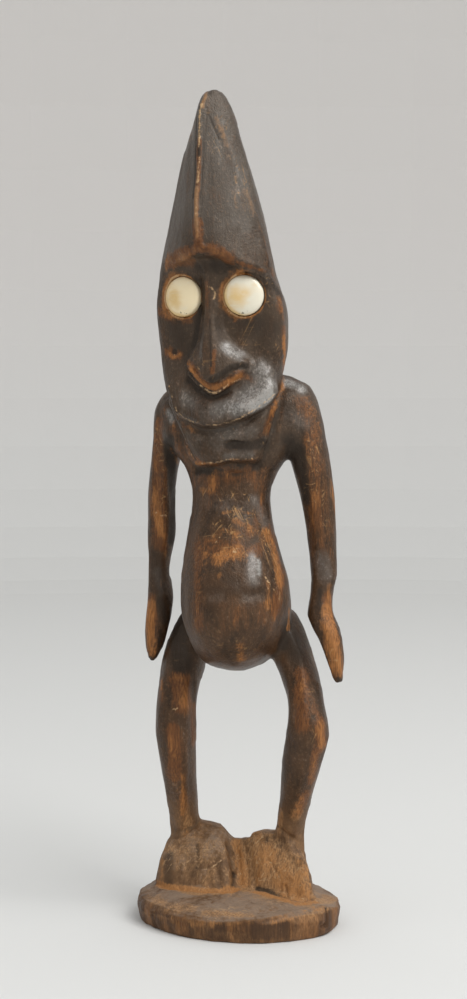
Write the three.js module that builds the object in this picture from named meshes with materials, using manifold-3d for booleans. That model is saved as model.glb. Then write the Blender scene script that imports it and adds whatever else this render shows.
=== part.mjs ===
// A standing spirit figure carved from one block of wood: a tall keeled head with a long nose,
// hanging arms, a swollen belly, bent legs and blocky feet on a hewn base. Its eyes are two shell discs.
// Millimetres. +Z is up, the figure faces -Y, and +X is its own left side.
// The origin is on the underside of the base, below the middle of the body.
import * as THREE from "three";
import { mergeVertices } from "three/addons/utils/BufferGeometryUtils.js";
import Module from "manifold-3d";

const wasm = await Module();
wasm.setup();

// Driving dimensions: heights above the underside of the base
const TIP = 455;
const BROW = 370.5;
const EYES_AT = 345.7;
const LIP = 278;
const MOUTH_AT = 266.2;
const CHIN = 251.5;
const SHOULDERS = 288;
const WAIST = 235;
const BELLY = 177;
const BELLY_BOTTOM = 141.2;
const RIGHT_KNEE = 106;
const LEFT_KNEE = 109;
const INSTEP = 50.5;

// Driving dimensions: the base, seen from above
const BASE_RIM = 14.5; // its height at the edge
const BASE_CROWN = 4.5; // how much higher its top is in the middle
const BASE_HALF_LENGTH = 61;
const BASE_HALF_WIDTH = 52;
const BASE_X = -1;
const BASE_Y = 0.5;
const BASE_TURN = -24; // degrees between its long way and the figure's own side to side

// Driving dimensions: the shell eyes in their sockets
const EYE_RADIUS = 10.9;
const EYE_RIM = 3.2; // straight edge of a shell disc
const EYE_DOME = 2.6; // crown of the disc above that edge
const SOCKET_GAP = 0.5; // air between a shell and the wood around it
const SEAT_GAP = 0.3; // air behind a shell
const SOCKET_DEPTH = 16; // length of the cut, from the seat out through the brow
const RIGHT_EYE = { x: -19.8, y: -29.4, splay: -10 }; // degrees that the eye looks outwards
const LEFT_EYE = { x: 15.1, y: -29.2, splay: 12 };

// Driving dimensions: the hollow of the mouth
const MOUTH = { x: 13.5, y: -33, halfLength: 13, depth: 4.6, halfHeight: 2.8 };

// Facets around each part
const HEAD_SIDES = 36;
const NOSE_SIDES = 16;
const TRUNK_SIDES = 26;
const LIMB_SIDES = 12;
const FOOT_SIDES = 20;
const BASE_SIDES = 34;
const EYE_SIDES = 24;
const EYE_RINGS = 5;
const SOCKET_SIDES = 36;

const UP = new THREE.Vector3(0, 0, 1);
const FRONT = new THREE.Vector3(0, -1, 0);
const TURNING_AXIS = new THREE.Vector3(0, 1, 0); // of a lathe or a cylinder as it is made
const { degToRad, lerp } = THREE.MathUtils;
const power = (value, exponent) => Math.sign(value) * Math.abs(value) ** exponent;

// Stations as a table: the names of the columns, then one row for each station.
const stations = (columns, rows) =>
  rows.map((row) => Object.fromEntries(columns.split(" ").map((name, i) => [name, row[i]])));

// Smooth curves through a list of stations. Every named size runs from its value at one station to
// its value at the next with no overshoot, and `steps` says how many rings lead up to a station.
function throughStations(list) {
  const names = Object.keys(list[0]).filter((name) => name !== "steps");
  const slopes = names.map((name) => {
    const climbs = list.slice(1).map((s, i) => s[name] - list[i][name]);
    return list.map((_, i) => {
      const before = climbs[i - 1] ?? climbs[0];
      const after = climbs[i] ?? climbs.at(-1);
      return before * after > 0 ? (2 * before * after) / (before + after) : 0;
    });
  });
  const rows = [{ ...list[0] }];
  list.slice(1).forEach((next, i) => {
    for (let k = 1; k <= next.steps; k++) {
      const t = k / next.steps;
      const row = {};
      names.forEach((name, n) => {
        const held = (1 + 2 * t) * (1 - t) ** 2 * list[i][name];
        const reached = t * t * (3 - 2 * t) * next[name];
        const leaving = t * (1 - t) ** 2 * slopes[n][i];
        const arriving = t * t * (t - 1) * slopes[n][i + 1];
        row[name] = held + reached + leaving + arriving;
      });
      rows.push(row);
    }
  });
  return rows;
}

// A ring of points, each placed by its angle.
const ringOf = (sides, place) =>
  Array.from({ length: sides }, (_, k) => place((k / sides) * 2 * Math.PI));

// A closed skin over a stack of rings that all run round the same way.
function loft(rings) {
  const sides = rings[0].length;
  const middle = (ring) =>
    ring.reduce((sum, p) => sum.add(p), new THREE.Vector3()).divideScalar(sides);
  const points = [...rings.flat(), middle(rings[0]), middle(rings.at(-1))];
  const firstCap = points.length - 2;
  const lastCap = points.length - 1;
  const lastRing = (rings.length - 1) * sides;
  const index = [];
  for (let i = 0; i < sides; i++) {
    const j = (i + 1) % sides;
    index.push(firstCap, j, i);
    for (let low = 0; low < lastRing; low += sides) {
      const high = low + sides;
      index.push(low + i, low + j, high + j, low + i, high + j, high + i);
    }
    index.push(lastCap, lastRing + i, lastRing + j);
  }
  const geometry = new THREE.BufferGeometry().setFromPoints(points);
  geometry.setIndex(index);
  return geometry;
}

// A closed geometry as a solid, turned inside out if its rings ran the other way round.
function solid(geometry) {
  const vertProperties = new Float32Array(geometry.getAttribute("position").array);
  const triVerts = new Uint32Array(geometry.index.array);
  const make = () => new wasm.Manifold(new wasm.Mesh({ numProp: 3, vertProperties, triVerts }));
  const made = make();
  if (made.volume() > 0) return made;
  for (let i = 0; i < triVerts.length; i += 3) {
    [triVerts[i + 1], triVerts[i + 2]] = [triVerts[i + 2], triVerts[i + 1]];
  }
  return make();
}

// A geometry of three's own with its shared corners joined.
function joined(geometry) {
  geometry.deleteAttribute("normal");
  geometry.deleteAttribute("uv");
  return mergeVertices(geometry);
}

// A solid's triangles as a geometry.
function skin(manifold) {
  const mesh = manifold.getMesh();
  const geometry = new THREE.BufferGeometry();
  geometry.setAttribute("position", new THREE.BufferAttribute(mesh.vertProperties, 3));
  geometry.setIndex(new THREE.BufferAttribute(mesh.triVerts, 1));
  geometry.computeVertexNormals();
  return geometry;
}

// A section with its own depth in front of and behind its widest line. `blunt` takes the front from
// a keel (near 1) to a flat face (near 3), and `keel` moves the front middle sideways. The front
// middle lies at the height `mid`, and the two sides lie at `right` and `left`.
function section(s, sides) {
  const roundBack = 2.1;
  return ringOf(sides, (angle) => {
    const inFront = Math.sin(angle) < -1e-9;
    const squareness = 2 / (inFront ? s.blunt : roundBack);
    const across = power(Math.cos(angle), squareness);
    const along = power(Math.sin(angle), squareness);
    const side = lerp(s.right, s.left, (across + 1) / 2);
    const z = inFront ? lerp(s.mid, across < 0 ? s.right : s.left, across ** 2) : side;
    const x = s.x + s.wide * across + (inFront ? s.keel * along ** 2 : 0);
    return new THREE.Vector3(x, s.y + (inFront ? s.front : s.back) * along, z);
  });
}

// The head is a keeled cone down to the brow, a flat face under it, and a jaw below the lip.
const HEAD_COLUMNS = "steps mid right left x y wide front back blunt keel";
const CROWN = stations(HEAD_COLUMNS, [
  [0, TIP, 455, 455, -2, -31, 3.6, 4, 3, 1.9, -0.5],
  [1, 453, 452, 452, -2, -31, 6.6, 7, 5, 1.7, -1.5],
  [2, 445, 444, 444, -1.6, -31, 9.8, 11, 8.5, 1.5, -2.8],
  [4, 422, 421, 421, -3, -29.5, 17.6, 15.5, 16, 1.3, -2.2],
  [5, 388, 387, 387, -3.6, -26, 26.6, 22.5, 27, 1.3, -1.6],
  [3, BROW, 365, 356, -3.2, -24.5, 32.2, 24, 32, 1.5, 0],
]);
const FACE = stations(HEAD_COLUMNS, [
  Object.values(CROWN.at(-1)),
  [3, 352, 354, 348, -2.7, -24, 34.4, 8.6, 34, 2.6, 0],
  [3, 336, 338, 337, -2, -23, 36.9, 8.6, 34, 2.7, 0],
  [4, 308, 315, 315, -1.2, -22, 35.6, 9.8, 33, 2.5, 0],
  [3, 293, 304, 307, -1.4, -22, 34, 14, 31, 2.2, 0],
  [3, LIP, 290, 300, -0.9, -22, 31.2, 16, 29, 2.1, 0],
]);
const JAW = stations(HEAD_COLUMNS, [
  Object.values(FACE.at(-1)),
  [1, 275.5, 286, 296, -0.7, -22, 30, 12, 28, 2.3, 0],
  [2, 269, 276, 280, 0, -21.5, 26.2, 11, 26, 2.5, 0],
  [1, 265.5, 270, 271, 0.5, -21, 23.6, 10.6, 25, 2.6, 0],
  [2, 260, 263, 263, 1, -20.5, 20.6, 10.6, 23, 2.5, 0],
  [1, 255.5, 257, 257, 1.4, -20, 17.6, 8.8, 21, 2.6, 0],
  [1, CHIN, 253, 253, 1.6, -19.5, 14.2, 5.5, 19, 2.4, 0],
]);

function head() {
  const [crown, face, jaw] = [CROWN, FACE, JAW].map(throughStations);
  const rows = [...crown, ...face.slice(1), ...jaw.slice(1)];
  return solid(loft(rows.map((row) => section(row, HEAD_SIDES))));
}

// The nose is a narrow bridge between the eyes that spreads into two swept wings, cut off below.
// `tip` is how far forward it comes, and `root` is where it joins the face.
const NOSE = stations("steps mid wing x wide tip root", [
  [0, 368, 364, -3.4, 9, -46, -33],
  [2, 357, 356, -3, 6.4, -39.4, -28],
  [2, 346, 346, -2.7, 5.6, -36.6, -28],
  [3, 328, 329, -2.6, 6.8, -39, -29],
  [2, 315, 320, -1.2, 10.4, -41.6, -31],
  [3, 299, 311, 1.2, 18.6, -43.6, -33],
  [1, 294.5, 307, 1.2, 17.6, -38.6, -31.5],
  [1, 293, 305, 1.2, 14, -33, -28],
]);

function nose() {
  const shape = { back: 6, blunt: 1.75, keel: 0 };
  const rings = throughStations(NOSE).map((s) => {
    const place = { right: s.wing, left: s.wing, y: s.root, front: s.root - s.tip };
    return section({ ...s, ...place, ...shape }, NOSE_SIDES);
  });
  return solid(loft(rings));
}

// The trunk runs from the neck over a narrow waist to a swollen, egg-shaped belly.
const TRUNK = stations("steps mid x y wide front back blunt", [
  [0, 306, -2, -2, 16, 10, 9, 2.2],
  [1, 300, -2, -2, 32, 13, 12.5, 2.5],
  [2, SHOULDERS, -2, -2.5, 43, 15, 15.5, 2.8],
  [2, 273, -2, -3.5, 42, 16, 16, 2.8],
  [2, 262, -1.8, -5, 34.5, 16, 15.5, 2.5],
  [2, 250, -1.2, -6.5, 25.6, 16, 14.5, 2.2],
  [3, WAIST, -1.2, -8, 22, 17, 15, 2.1],
  [3, 215, -0.8, -8, 25, 23, 17.5, 2.1],
  [4, 190, 1.8, -8, 29.8, 34, 20, 2.1],
  [3, BELLY, 2.6, -8, 30.1, 36.5, 23, 2.1],
  [3, 162.5, 2.6, -8, 27, 33.5, 24, 2.1],
  [3, 150.5, 1.8, -8, 21, 25, 21, 2.1],
  [2, 143.6, 1.2, -8, 12.6, 14.6, 12, 2.1],
  [1, BELLY_BOTTOM, 1, -8, 5.6, 6.6, 5, 2.1],
]);

function trunk() {
  const level = (s) => ({ ...s, right: s.mid, left: s.mid, keel: 0 });
  return solid(loft(throughStations(TRUNK).map((s) => section(level(s), TRUNK_SIDES))));
}

// Each arm runs from the neck over the shoulder to a narrow wrist and a fingerless, paddle-shaped hand.
const LIMB_COLUMNS = "steps x y z wide deep";
const RIGHT_ARM = stations(LIMB_COLUMNS, [
  [0, -10, 0, 285, 8, 8],
  [3, -31, 1, SHOULDERS, 12.3, 12.5],
  [3, -40.6, 1, 280, 11, 12],
  [2, -43, 1.5, 268, 8.8, 11],
  [2, -46.2, 2, 252, 7.7, 9.5],
  [3, -49, 4, 232, 7.7, 8.4],
  [3, -48.2, 3, 215, 8.3, 8.2],
  [3, -48.6, 0, 196, 5.7, 6.4],
  [3, -46.6, -2, 177, 7.3, 7.6],
  [2, -48.2, -3.5, 165, 7, 7.2],
  [2, -50, -5, 150, 4.2, 5.4],
  [1, -50.5, -5.4, 143.5, 1.8, 2.4],
]);
const LEFT_ARM = stations(LIMB_COLUMNS, [
  [0, 8, 0, 287, 8, 8],
  [3, 28, 1, SHOULDERS + 3, 13, 12.5],
  [3, 34.8, 1, 282, 12.4, 12],
  [2, 38.6, 1.5, 268, 11.4, 11.4],
  [2, 42.2, 2, 253, 10.6, 10.6],
  [3, 45.6, 4, 232, 9.2, 9],
  [3, 47.8, 3, 212, 7.9, 8.2],
  [3, 49.6, 1, 194, 7.2, 7],
  [2, 48.8, -1, 183, 6.1, 6.6],
  [2, 48.4, -3, 174, 7, 7.4],
  [2, 54.8, -4.5, 163, 6.4, 7.4],
  [3, 58.8, -6, 149, 4.6, 5.8],
  [2, 60.8, -7, 137, 2.4, 3],
]);

// Each leg runs from the hip behind the belly, through a bent knee, into the top of its foot.
const RIGHT_LEG = stations(LIMB_COLUMNS, [
  [0, -13, 2, 173, 9, 9],
  [2, -26.4, 5, 163, 12.6, 13.5],
  [3, -34.2, 4, 145, 12.2, 13],
  [3, -36.3, -3, 124, 11.3, 12],
  [2, -35.5, -7, RIGHT_KNEE, 11.5, 11.5],
  [3, -35.4, -4, 88, 10.2, 11],
  [3, -36, 3, 66, 8.8, 9.6],
  [3, -36.5, 9, 45, 7.9, 8.6],
  [1, -35, 11, 28, 7.9, 8.6],
]);
const LEFT_LEG = stations(LIMB_COLUMNS, [
  [0, 12, 2, 172, 8, 9],
  [2, 22.6, 5, 165, 11.4, 13],
  [3, 31.2, 4, 147, 10.6, 12.6],
  [3, 40.8, -4, 126, 9.5, 11.4],
  [3, 43.3, -7, LEFT_KNEE, 11.8, 11.6],
  [3, 38.8, -4, 92, 11.1, 11],
  [3, 31.8, 4, 67, 8.5, 9.4],
  [2, 27.3, 9, 50, 7.9, 8.6],
  [1, 27, 11, 30, 8.2, 8.6],
]);

// A limb follows a line of stations, with a round section square to that line.
function limb(list) {
  const rows = throughStations(list);
  const centres = rows.map((s) => new THREE.Vector3(s.x, s.y, s.z));
  const rings = rows.map((s, i) => {
    const before = centres[Math.max(i - 1, 0)];
    const after = centres[Math.min(i + 1, rows.length - 1)];
    const along = after.clone().sub(before).normalize();
    const across = FRONT.clone().cross(along).normalize();
    const forward = along.clone().cross(across);
    return ringOf(LIMB_SIDES, (angle) =>
      centres[i]
        .clone()
        .addScaledVector(across, s.wide * Math.cos(angle))
        .addScaledVector(forward, s.deep * Math.sin(angle)),
    );
  });
  return solid(loft(rings));
}

// A foot is a blocky mound, wide at the toes and narrow at the heel. Each level of it is a rounded
// quadrilateral, given by its height and the x and y of its corners: the toes' outer and inner
// ends, then the heel's inner and outer ends.
const RIGHT_FOOT = [
  [11, [-49, -14.5], [4, -20], [-1, 24], [-44, 26]],
  [23, [-49, -13], [2, -17.5], [-2, 24], [-44, 25.5]],
  [31, [-48.5, -10], [-0.5, -14], [-4, 23], [-43.5, 25]],
  [38, [-46.5, -5.5], [-4.5, -9], [-7, 21], [-42.5, 23]],
  [44, [-42.5, -0.5], [-9.5, -3.5], [-11, 18], [-40, 20]],
  [48.5, [-35, 5], [-13, 2], [-14.5, 15], [-37, 17]],
  [INSTEP, [-30, 8], [-15, 5.5], [-16, 13], [-33, 15]],
];
const LEFT_FOOT = [
  [11, [49, -13], [9, -7], [8, 27], [31, 28]],
  [23, [49, -11.5], [7.5, -5], [7, 27], [31, 27.5]],
  [31, [46, -8], [6, -3], [6, 26], [29, 26]],
  [38, [40.5, -3.5], [4.5, -0.5], [5, 24], [26.5, 24]],
  [44, [32, 1], [3.5, 2.5], [4.5, 21], [25, 22]],
  [48.5, [21, 6], [5.5, 6.5], [7, 17], [22, 18]],
];

function foot(levels) {
  const squareness = 0.42;
  const rings = levels.map(([z, ...corners]) => {
    const [outerToe, innerToe, innerHeel, outerHeel] = corners.map(([x, y]) => new THREE.Vector3(x, y, z));
    return ringOf(FOOT_SIDES, (angle) => {
      const inwards = (power(Math.cos(angle), squareness) + 1) / 2;
      const backwards = (power(Math.sin(angle), squareness) + 1) / 2;
      const toe = outerToe.clone().lerp(innerToe, inwards);
      return toe.lerp(outerHeel.clone().lerp(innerHeel, inwards), backwards);
    });
  });
  return solid(loft(rings));
}

// The wall of wood left between the feet gets lower, wider and further forward towards the base.
const WEB = [
  { rise: -2, front: -10, back: 22, x: 4.5, half: 9 },
  { rise: 8, front: -4, back: 20, x: 3, half: 8 },
  { rise: 20, front: 3, back: 17, x: -1, half: 8 },
  { rise: 28, front: 6.5, back: 14, x: -4, half: 7.5 },
];

function web() {
  const rings = WEB.map(({ rise, front, back, x, half }) =>
    [
      [x + half, back],
      [x - half, back],
      [x - half, front],
      [x, front + 1],
      [x + half, front],
    ].map(([cornerX, cornerY]) => new THREE.Vector3(cornerX, cornerY, BASE_RIM + rise)),
  );
  return solid(loft(rings));
}

// The base is a thick slab, hewn roughly oval and a little domed, with its edges eased.
// Each level is a height and how far it lies inside the slab's outline.
const BASE_LEVELS = [
  [0, 1.6],
  [BASE_RIM * 0.55, 0],
  [BASE_RIM - 2.2, 0.7],
  [BASE_RIM - 0.5, 2.4],
  [BASE_RIM + BASE_CROWN * 0.5, 14],
  [BASE_RIM + BASE_CROWN, 34],
];

function base() {
  const hewn = (angle) =>
    1 + 0.012 * Math.sin(3 * angle + 0.8) + 0.008 * Math.sin(5 * angle) + 0.006 * Math.cos(9 * angle);
  const middle = new THREE.Vector3(BASE_X, BASE_Y, 0);
  const rings = BASE_LEVELS.map(([z, inset]) =>
    ringOf(BASE_SIDES, (angle) => {
      const lengthways = (BASE_HALF_LENGTH * hewn(angle) - inset) * Math.cos(angle);
      const sideways = (BASE_HALF_WIDTH * hewn(angle) - inset) * Math.sin(angle);
      const point = new THREE.Vector3(lengthways, sideways, z);
      return point.applyAxisAngle(UP, degToRad(BASE_TURN)).add(middle);
    }),
  );
  return solid(loft(rings));
}

// The place and the direction of an eye: its seat faces the front, turned outwards by its splay.
const seatOf = ({ x, y }) => new THREE.Vector3(x, y, EYES_AT);
const facing = ({ splay }) => FRONT.clone().applyAxisAngle(UP, degToRad(splay));
const towards = (direction) => new THREE.Quaternion().setFromUnitVectors(TURNING_AXIS, direction);

// A socket is a round cut with a flat floor, made along the eye's own direction.
function socket(eye) {
  const radius = EYE_RADIUS + SOCKET_GAP;
  const cut = new THREE.CylinderGeometry(radius, radius, SOCKET_DEPTH, SOCKET_SIDES);
  cut.applyQuaternion(towards(facing(eye)));
  const middle = seatOf(eye).addScaledVector(facing(eye), SOCKET_DEPTH / 2 - SEAT_GAP);
  cut.translate(middle.x, middle.y, middle.z);
  return solid(joined(cut));
}

// The mouth is a shallow hollow across the left half of the chin.
function mouth() {
  const hollow = new THREE.SphereGeometry(1, 20, 12);
  hollow.scale(MOUTH.halfLength, MOUTH.depth, MOUTH.halfHeight);
  hollow.translate(MOUTH.x, MOUTH.y, MOUTH_AT);
  return solid(joined(hollow));
}

// A shell disc is flat behind, straight at its edge and gently domed in front.
function shellDisc() {
  const bevel = 0.6;
  const profile = [
    new THREE.Vector2(0, 0),
    new THREE.Vector2(EYE_RADIUS - bevel, 0),
    new THREE.Vector2(EYE_RADIUS, bevel),
  ];
  for (let i = 0; i < EYE_RINGS; i++) {
    const angle = (i / EYE_RINGS) * (Math.PI / 2);
    const out = EYE_RADIUS * Math.cos(angle) ** 0.8;
    profile.push(new THREE.Vector2(out, EYE_RIM + EYE_DOME * Math.sin(angle) ** 1.1));
  }
  profile.push(new THREE.Vector2(0, EYE_RIM + EYE_DOME));
  return new THREE.LatheGeometry(profile, EYE_SIDES);
}

const wood = new THREE.MeshStandardMaterial({ color: 0x4a3527, roughness: 0.5, metalness: 0 });
const shell = new THREE.MeshStandardMaterial({ color: 0xe9dfc6, roughness: 0.25, metalness: 0 });

const limbs = [RIGHT_ARM, LEFT_ARM, RIGHT_LEG, LEFT_LEG].map(limb);
const feet = [RIGHT_FOOT, LEFT_FOOT].map(foot);
const masses = [head(), nose(), trunk(), ...limbs, ...feet, web(), base()];
const hollows = [socket(RIGHT_EYE), socket(LEFT_EYE), mouth()];
const block = masses.reduce((whole, mass) => whole.add(mass));
const carved = hollows.reduce((whole, hollow) => whole.subtract(hollow), block);

const figure = new THREE.Group();
const carving = new THREE.Mesh(skin(carved), wood);
carving.name = "carved_figure";
figure.add(carving);

for (const [name, eye] of Object.entries({ right_eye_shell: RIGHT_EYE, left_eye_shell: LEFT_EYE })) {
  const disc = new THREE.Mesh(shellDisc(), shell);
  disc.name = name;
  disc.position.copy(seatOf(eye));
  disc.quaternion.copy(towards(facing(eye)));
  figure.add(disc);
}

export default figure;
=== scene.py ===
# %% [markdown]
# # A spirit figure carved from one block of wood
#
# The figure stands about 455 mm tall. It was cut with adze and knife from one block, smoothed, darkened
# and then handled for years, so its edges and high places are rubbed through to orange-brown wood.
# Two discs of white shell are set in its eyes. This lesson takes the plain solid model of it, carves
# the fine relief that a solid model leaves out, and finishes the wood and the shell.

# %% Load the solid model, which fixes every size and place
import math

import bpy
import numpy as np
from mathutils import Matrix, Vector, noise
from mathutils.bvhtree import BVHTree


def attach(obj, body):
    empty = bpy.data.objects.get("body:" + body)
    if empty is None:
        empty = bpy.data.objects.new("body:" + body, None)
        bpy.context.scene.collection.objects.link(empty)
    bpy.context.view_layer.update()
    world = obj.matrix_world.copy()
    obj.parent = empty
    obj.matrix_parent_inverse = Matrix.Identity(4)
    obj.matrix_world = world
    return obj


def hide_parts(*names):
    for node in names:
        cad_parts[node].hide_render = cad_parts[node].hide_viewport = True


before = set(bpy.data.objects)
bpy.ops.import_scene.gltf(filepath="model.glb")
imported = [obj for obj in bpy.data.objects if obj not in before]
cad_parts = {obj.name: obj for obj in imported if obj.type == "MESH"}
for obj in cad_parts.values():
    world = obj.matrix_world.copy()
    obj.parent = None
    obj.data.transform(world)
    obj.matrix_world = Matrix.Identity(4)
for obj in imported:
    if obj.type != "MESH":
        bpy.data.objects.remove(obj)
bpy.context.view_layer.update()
solid_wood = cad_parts["carved_figure"]
print("the solid figure is", round(solid_wood.dimensions.z * 1000), "mm tall")

# %% [markdown]
# ## The camera
#
# The camera comes first, because later cells place marks on the wood by where they show in the
# picture. It looks at the figure from 22 degrees to its left and very slightly down, with a long lens,
# so that upright things stay nearly parallel. A matrix of its own axes puts it there exactly, which is
# easier to reuse than angles: the same three axes later turn a picture point into a line of sight.

# %% Stand the camera at the picture's viewing angle
PICTURE_WIDE, PICTURE_TALL = 467, 999  # pixels
SENSOR = 36.0  # mm, along the tall side of the picture
LENS = 72.07  # mm
AZIMUTH = math.radians(22.0)
DOWNWARDS = math.radians(2.85)
CAMERA_DISTANCE = 1.108  # m, from the figure's upright axis
CAMERA_HEIGHT = 0.290  # m, level with the shoulders
CAMERA_ASIDE = -0.0031  # m, to the picture's left

toward_camera = Vector((math.sin(AZIMUTH), -math.cos(AZIMUTH), 0))
picture_right = Vector((math.cos(AZIMUTH), math.sin(AZIMUTH), 0))
picture_back = toward_camera * math.cos(DOWNWARDS) + Vector((0, 0, math.sin(DOWNWARDS)))
picture_up = picture_back.cross(picture_right)
eye_point = toward_camera * CAMERA_DISTANCE + picture_right * CAMERA_ASIDE + Vector((0, 0, CAMERA_HEIGHT))

camera = bpy.data.objects.new("camera", bpy.data.cameras.new("camera"))
camera.data.sensor_width = SENSOR
camera.data.lens = LENS
axes = Matrix((picture_right, picture_up, picture_back)).transposed()
camera.matrix_world = Matrix.Translation(eye_point) @ axes.to_4x4()
bpy.context.scene.collection.objects.link(camera)
bpy.context.scene.camera = camera


def line_of_sight(pixel):
    """The direction from the camera through a pixel of the picture."""
    pixel_size = SENSOR / PICTURE_TALL / LENS
    across = (pixel[0] - PICTURE_WIDE / 2) * pixel_size
    down = (pixel[1] - PICTURE_TALL / 2) * pixel_size
    return (picture_right * across - picture_up * down - picture_back).normalized()


print("the camera stands at", tuple(round(v, 3) for v in eye_point))

# %% [markdown]
# ## A skin of wood that is fine enough to carve
#
# The solid is closed and has the right form, but its long flat facets can't hold a knife mark. A voxel
# remesh lays an even net over a copy of it. Subdivision alone would keep the long thin triangles where
# the limbs join the body, and marks that cross them would tear. A voxel net also closes any gap
# narrower than about two of its cells, and the right hand hangs that close to the thigh, so the hand
# is swung aside before the remesh and back after it. The net is then made twice as fine where most
# carving lies: on the face, on the feet and the front of the base.

# %% Copy the solid, join its loose triangles and remesh it
MM = 0.001
VOXEL = 1.7 * MM
MERGE_WITHIN = 1e-6  # m: points closer than this are one
SWING = 3.0  # mm
GAP_MIDDLE = np.array((-42.6, -0.8, 158.4))  # mm, halfway between the hand and the thigh
GAP_DIRECTION = np.array((0.93, 0.22, -0.30))
WRIST, ELBOW = 180, 205  # mm up: all of the swing below the first, and none above the second


def only(*pieces):
    """Selects these pieces and nothing else, and makes the last one active."""
    bpy.ops.object.select_all(action="DESELECT")
    for piece in pieces:
        piece.select_set(True)
    bpy.context.view_layer.objects.active = pieces[-1]


def apply_modifier(piece, kind, **settings):
    """Adds a modifier with these settings and applies it."""
    modifier = piece.modifiers.new(kind.lower(), kind)
    for name, value in settings.items():
        setattr(modifier, name, value)
    only(piece)
    bpy.ops.object.modifier_apply(modifier=modifier.name)


def keep_size(piece):
    """Leaves a piece at the origin, unturned, with its place in its mesh."""
    piece.data.transform(piece.matrix_world)
    piece.matrix_world = Matrix.Identity(4)


def swing_hand(mesh, distance):
    """Moves the right hand along the gap's direction, away from the thigh if the distance is negative."""
    spots = np.empty((len(mesh.vertices), 3))
    mesh.vertices.foreach_get("co", spots.ravel())
    spots /= MM
    share = np.clip((ELBOW - spots[:, 2]) / (ELBOW - WRIST), 0, 1)
    share *= (spots - GAP_MIDDLE) @ GAP_DIRECTION < 0
    spots += share[:, None] * distance * GAP_DIRECTION
    mesh.vertices.foreach_set("co", (spots * MM).ravel())
    mesh.update()


wood = bpy.data.objects.new("carved_wood", solid_wood.data.copy())
bpy.context.scene.collection.objects.link(wood)
only(wood)
bpy.ops.object.mode_set(mode="EDIT")
bpy.ops.mesh.select_all(action="SELECT")
bpy.ops.mesh.remove_doubles(threshold=MERGE_WITHIN)
bpy.ops.object.mode_set(mode="OBJECT")
swing_hand(wood.data, -SWING)
apply_modifier(wood, "REMESH", mode="VOXEL", voxel_size=VOXEL)
swing_hand(wood.data, SWING)
print("the even net has", len(wood.data.polygons), "faces")

# %% Make the net finer on the face, the feet and the front of the base
JAW_HEIGHT, CREST_HEIGHT, FEET_TOP, GROUND_BAND = 250, 378, 56, 3  # mm up
FACE_BACK, CREST_BACK, FEET_BACK = -24, -14, 6  # mm along y: what lies in front of these is carved finely
FEET_SLANT = 0.35  # how far the line behind the feet turns with the feet
CREST_MIDDLE, CREST_REACH = -3, 8  # mm along x


def select_faces(piece, chosen):
    """Selects a piece's faces by a test of their middles, given in millimetres."""
    mesh = piece.data
    middles = np.empty(len(mesh.polygons) * 3)
    mesh.polygons.foreach_get("center", middles)
    picked = chosen(*(middles.reshape(-1, 3) / MM).T)
    only(piece)
    bpy.context.tool_settings.mesh_select_mode = (False, False, True)
    bpy.ops.object.mode_set(mode="EDIT")
    bpy.ops.mesh.select_all(action="DESELECT")
    bpy.ops.object.mode_set(mode="OBJECT")
    mesh.polygons.foreach_set("select", picked)
    bpy.ops.object.mode_set(mode="EDIT")


def finely_carved(x, y, z):
    """The test for the places that carry the most carving."""
    face = (z > JAW_HEIGHT) & (z < CREST_HEIGHT) & (y < FACE_BACK)
    crest = (z >= CREST_HEIGHT) & (y < CREST_BACK) & (abs(x - CREST_MIDDLE) < CREST_REACH)
    feet = (z > GROUND_BAND) & (z < FEET_TOP) & (y < FEET_BACK + FEET_SLANT * x)
    return face | crest | feet


select_faces(wood, finely_carved)
bpy.ops.mesh.subdivide(number_cuts=1)
bpy.ops.object.mode_set(mode="OBJECT")
print("the carving net has", len(wood.data.polygons), "faces")

# %% [markdown]
# ## Tools for carving the skin
#
# Blender's sculpt brushes need a window and a hand. The same moves can be written down: a brush is a
# line on the surface, a width and a depth, and every point near the line moves along its own normal.
# The lines are given as picture points, joined by a smooth curve, and laid on the wood by lines of
# sight from the camera. A mark given this way lies on the wood, whatever side it is seen from.

# %% Read the skin as arrays, with the moves that shape it
SMOOTHING, SWELLING = 0.5, -0.53  # shares of the way to the mean of a point's neighbours
LINE_SPACING = 3.0  # pixels between the points of a smooth line


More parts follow.
